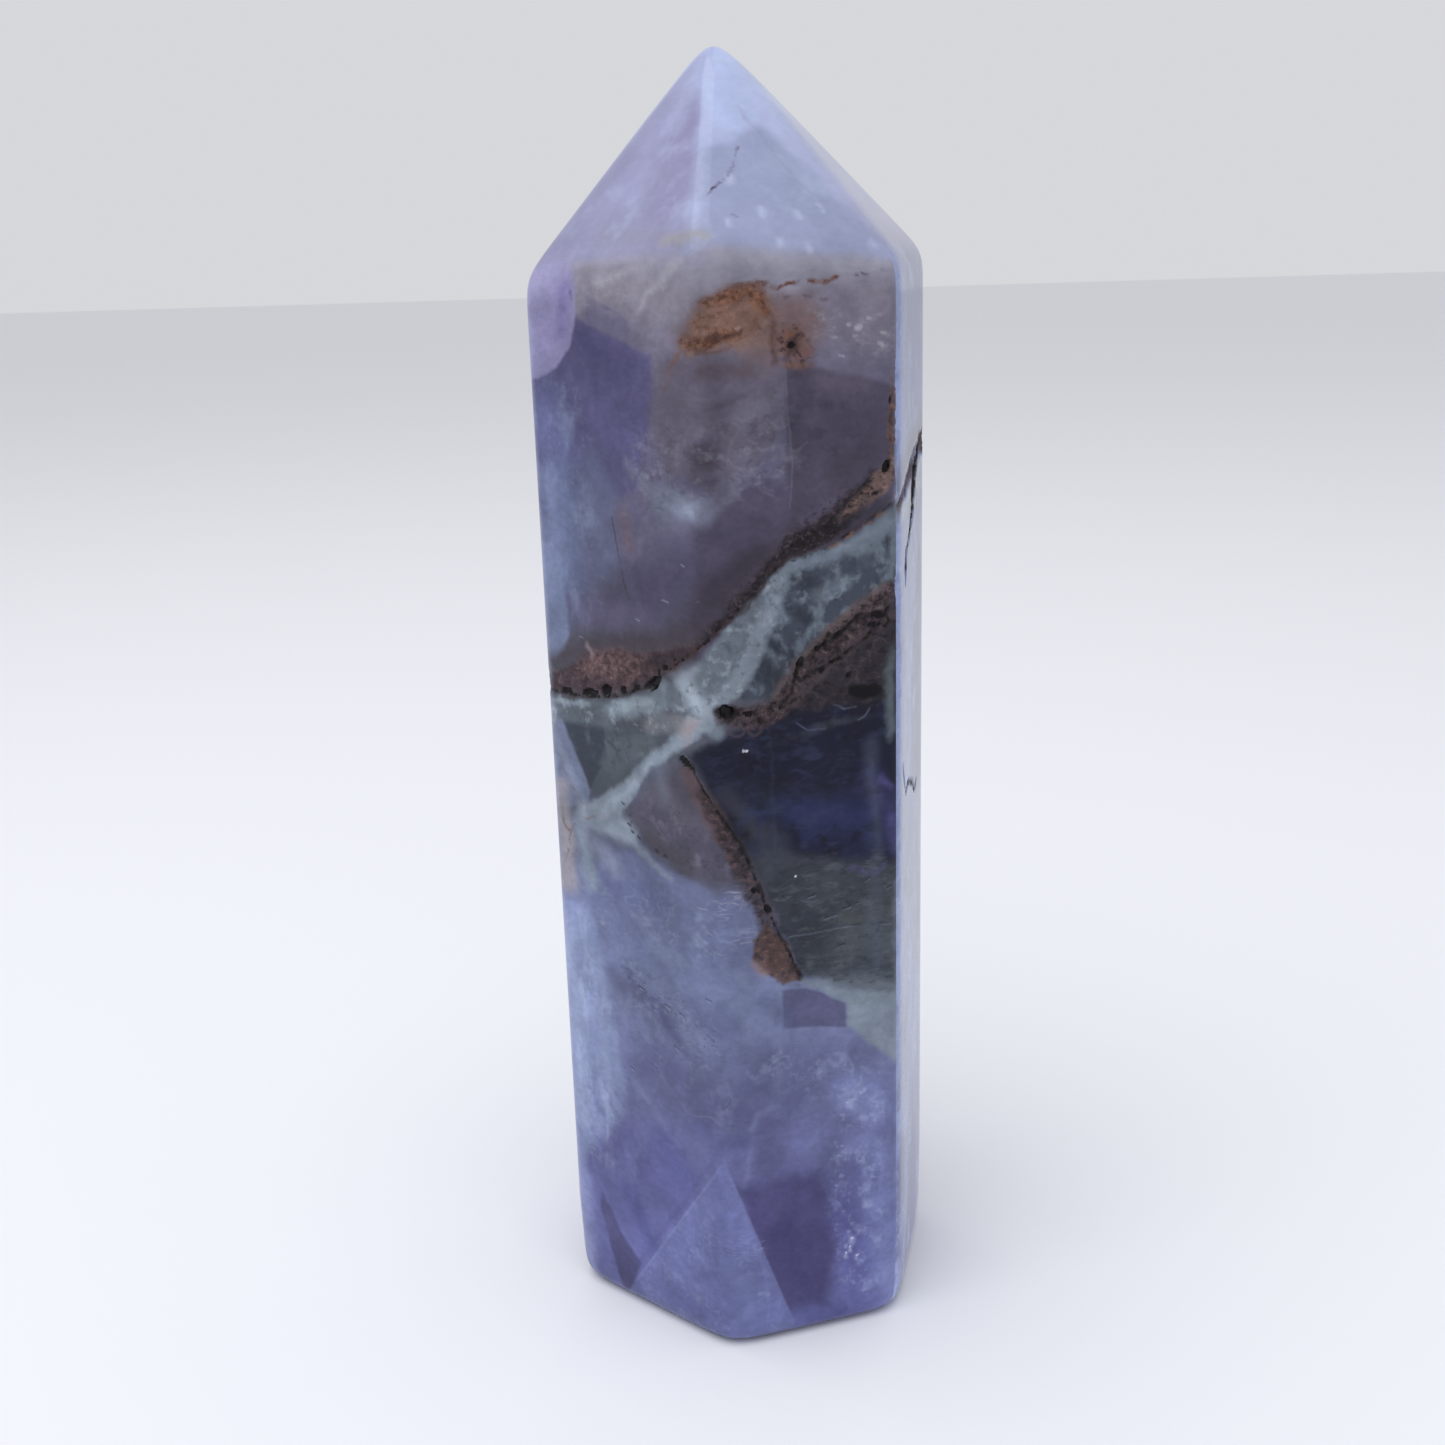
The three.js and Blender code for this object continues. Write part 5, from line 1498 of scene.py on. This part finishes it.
def seam_behind(paint):
    """The main seam on its way round the back, with the white vein under it."""
    below = (
        (27.2, 60.6, 1), (31, 59, 1.7), (34.5, 58.4, 1.4), (38, 56.6, 2), (41.5, 55.6, 1.4), (45, 53.8, 1.7),
        (48, 52.4, 0.8), (52, 49.6, 1.3), (55.5, 48, 1.9), (59, 46.9, 1.2), (62, 45.8, 1.6), (66, 45.6, 0.9),
        (69, 45.4, 1),
    )
    white = paint.vein("737c88", below, 0.3, 0.95)
    paint.wisps(white, "9ca6b2", 1.2, 1, 0.8, 0.44, 0.6)
    paint.wisps(white, "4c535e", 0.9, 1, 0.6, 0.53, 0.66)
    paint.vein("929cab", ((34, 57.8, 0.4), (38, 56, 0.7), (42, 54.8, 0.4)), 0.5, 0.7)
    branch = (
        (47.5, 52.4, 0.8), (49.6, 48.5, 0.5), (52.4, 45, 0.7), (55, 40.4, 0.4), (59, 35, 0.6),
        (61, 30.5, 0.2),
    )
    paint.vein("7a8593", branch, 0.35, 0.85)
    paint.vein("8e98a8", ((30, 58.4, 0.4), (28.6, 54, 0.3), (29.6, 49, 0.4), (28.2, 43, 0.15)), 0.4, 0.6)
    paint.vein("3a333c", [(around, up + 1.6, half) for around, up, half in SEAM_BEHIND[2:]], 0.9, 0.75)
    rough = paint.vein("4d3f42", SEAM_BEHIND[2:], 0.35, 0.95)
    paint.crumble(rough, "2a2023", "75605c", 0.6)
    paint.vein("57423f", [(around + 0.3, up, 0.4) for around, up, _ in THIN_SEAM_BEHIND], 0.35, 0.6)
    paint.vein("2a1f20", THIN_SEAM_BEHIND, 0.12, 0.85)


def hollows(paint):
    """The dark iron that lines the pits and the crumbs' hollows, wherever the wear goes deep."""
    if not any(paint.reaches(route, margin=1.0) for route, _, _ in ROUGH_SEAMS):
        return
    depth = add(paint.tree, "ShaderNodeAttribute", attribute_name="wear_depth_mm").outputs["Fac"]
    shallow, deep = 0.05, 0.2
    limits = {"Value": depth, "From Min": shallow, "From Max": deep}
    mask = add(paint.tree, "ShaderNodeMapRange", limits, interpolation_type="SMOOTHSTEP").outputs[0]
    paint.lay(mask, "120e10", 0.92)


def milky_edges_and_painted_glow(paint):
    """The worn long edges painted light and milky: partly the milky skin the polish leaves, partly a painted
    glow of light coming through the thin edges from behind.
    """
    edges = (
        (-15.03, 0.2, 0.6, 0.55),
        (13.35, 0.05, 0.14, 0.35),
        (27.2, 0.2, 0.6, 0.25),
        (41.3, 0.2, 0.6, 0.15),
        (55.6, 0.2, 0.6, 0.15),
    )
    # Each long edge painted lighter: partly milky skin, partly painted glow of light from behind.
    for around, half, softness, shows in edges:
        paint.vein("b4bedd", thin(half, (around, 1), (around, 75)), softness, shows)
    # Painted highlight lines along the right edge of the right face.
    for low, high in ((60.5, 74.5), (1, 34)):
        paint.vein("a9b2d0", thin(0.1, (13.2, low), (13.2, high)), 0.5, 0.5)


def balances(paint):
    """Slow changes of shade across the growth, lighter and darker."""
    for colour, start, end, radius, softness, shows in (
        ("736b7a", (-2.6, 68.6), (-1.2, 67.4), 0.7, 0.9, 0.55),
        ("5d5565", (7.4, 68.2), (10.6, 68), 0.5, 0.8, 0.7),
        ("2f2a35", (0, 55.4), (3.8, 57.6), 0.7, 0.8, 0.75),
        ("3a3d4a", (3.6, 38.8), (4.6, 37.4), 0.7, 0.8, 0.6),
        ("2c2832", (9.4, 59.2), (12.2, 60), 0.6, 0.7, 0.6),
        ("2c2832", (-0.6, 54.2), (1, 54.6), 0.5, 0.7, 0.5),
        ("505c66", (-4.6, 48.6), (-4.2, 46.2), 0.5, 0.7, 0.5),
        ("4e5462", (-7, 43.2), (-6.4, 42.4), 0.4, 0.7, 0.6),
        ("6f7889", (-4.8, 43.4), (-4.4, 40.6), 0.4, 0.7, 0.45),
        ("8b93a8", (-11.8, 37), (-9.4, 35.4), 0.7, 0.8, 0.6),
        ("171926", (4.4, 42.2), (8, 41.2), 0.5, 0.8, 0.6),
        ("52596e", (11.2, 44.4), (11.4, 28), 0.3, 0.7, 0.45),
        ("5a5f84", (-2.8, 26.4), (0.2, 25.4), 0.9, 1, 0.6),
        ("52587a", (3.2, 26.8), (4.4, 25.4), 0.6, 0.9, 0.7),
        ("515478", (2.8, 20.8), (4.8, 19.4), 0.8, 0.9, 0.6),
        ("50538a", (-5.6, 14.8), (-4.2, 13.2), 1.1, 1.2, 0.6),
        ("545785", (-2.6, 17.2), (1.6, 16.4), 0.8, 1, 0.6),
        ("7f86b6", (10.4, 15), (12.6, 13.2), 1.1, 1.2, 0.6),
        ("4e5184", (-9.2, 9.2), (-7, 5.6), 0.9, 0.8, 0.75),
        ("8b92bc", (-14.5, 11), (-14.2, 1), 0.6, 0.8, 0.9),
        ("4c4e7e", (6.4, 1.6), (8.6, 1.2), 0.8, 0.9, 0.6),
        ("8087b4", (11.8, 3.6), (12.8, 1), 0.8, 0.9, 0.7),
    ):
        paint.cloud(colour, start, end, radius, softness, shows)


# The layers of the painting, the first one innermost.
PARTS = (
    growth_bands, left_corner, grey_shoulder_with_painted_highlight, smoky_growth, blue_haze, brown_growth_above, rusty_patch,
    left_middle, dark_heart, white_below_left_seam, left_seam, white_vein, brown_band, red_seam, lower_left,
    lower_right, balances, painted_foot_reflection, tip, far_right_face, chevrons_behind, seam_behind, mottling, hollows,
    milky_edges_and_painted_glow,
)


def chevron_amethyst(zone):
    """Polished chevron amethyst: glossy quartz, cloudy violet and grey inside, with iron seams.

    Its gloss is low, because the photograph's soft light leaves hardly a reflection on it.
    """
    material = bpy.data.materials.new("polished_chevron_amethyst")
    material.use_nodes = True
    shader = material.node_tree.nodes["Principled BSDF"]
    paint = Painting(material.node_tree, zone)
    for part in PARTS:
        part(paint)
    material.node_tree.links.new(paint.colour, shader.inputs["Base Color"])
    # The refractive index of quartz.
    shader.inputs["IOR"].default_value = 1.544
    shader.inputs["Roughness"].default_value = POLISHED
    if paint.matte is not None:
        limits = {"Value": paint.matte, "To Min": POLISHED, "To Max": MATTE}
        roughness = add(paint.tree, "ShaderNodeMapRange", limits, clamp=False).outputs[0]
        paint.tree.links.new(roughness, shader.inputs["Roughness"])
    shader.inputs["Specular IOR Level"].default_value = 0.16
    return material


def camera():
    """The photograph's viewpoint: a close-up from a little above the tip's shoulder."""
    photo_width = 1445
    focal_pixels = 1656
    standpoint = Vector((3.254, -115.561, 76.153))
    yaw, pitch, roll = (math.radians(angle) for angle in (-2.325, 15.946, -1.729))
    ahead = Vector((math.sin(yaw) * math.cos(pitch), math.cos(yaw) * math.cos(pitch), -math.sin(pitch)))
    level = Vector((math.cos(yaw), -math.sin(yaw), 0))
    above = level.cross(ahead)
    right = math.cos(roll) * level + math.sin(roll) * above
    up = -math.sin(roll) * level + math.cos(roll) * above
    lens = bpy.data.cameras.new("camera")
    lens.sensor_width = 36
    lens.lens = lens.sensor_width * focal_pixels / photo_width
    lens.clip_start = 0.001
    made = bpy.data.objects.new("camera", lens)
    bpy.context.scene.collection.objects.link(made)
    turned = Matrix((right, up, -ahead)).transposed().to_4x4()
    made.matrix_world = Matrix.Translation(standpoint * MM) @ turned
    bpy.context.scene.camera = made


def floor():
    """A plain floor of matt paper, which gives the eye a pale ground without a shine."""
    shape = bmesh.new()
    bmesh.ops.create_grid(shape, x_segments=1, y_segments=1, size=3)
    mesh = bpy.data.meshes.new("floor")
    shape.to_mesh(mesh)
    shape.free()
    made = bpy.data.objects.new("floor", mesh)
    bpy.context.scene.collection.objects.link(made)
    paper = bpy.data.materials.new("pale_paper_floor")
    paper.use_nodes = True
    shader = paper.node_tree.nodes["Principled BSDF"]
    shader.inputs["Base Color"].default_value = srgb("f0f1f4")
    shader.inputs["Roughness"].default_value = 0.9
    mesh.materials.append(paper)


def lamp(name, centre, target, width, height, watts, colour):
    """A soft rectangular lamp, its places in millimetres."""
    light = bpy.data.lights.new(name, "AREA")
    light.shape = "RECTANGLE"
    light.size = width * MM
    light.size_y = height * MM
    light.energy = watts
    light.color = srgb(colour)[:3]
    made = bpy.data.objects.new(name, light)
    bpy.context.scene.collection.objects.link(made)
    away = (Vector(centre) - Vector(target)).to_track_quat("Z", "Y")
    made.matrix_world = Matrix.Translation(Vector(centre) * MM) @ away.to_matrix().to_4x4()


def studio():
    """Soft even light from a pale room, and a large lamp above the stone."""
    world = bpy.data.worlds.new("pale room")
    bpy.context.scene.world = world
    world.use_nodes = True
    background = world.node_tree.nodes["Background"]
    background.inputs["Color"].default_value = srgb("f8f9fd")
    background.inputs["Strength"].default_value = 0.72
    lamp(
        "overhead",
        centre=(-100, -150, 500),
        target=(0, 0, 40),
        width=500,
        height=500,
        watts=1.5,
        colour="fafbff",
    )
    bpy.context.scene.view_settings.view_transform = "Standard"


tower = polished_tower()
for zone in ZONES:
    tower.data.materials.append(chevron_amethyst(zone))
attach(tower, "root")
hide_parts("amethyst_tower")

camera()
floor()
studio()
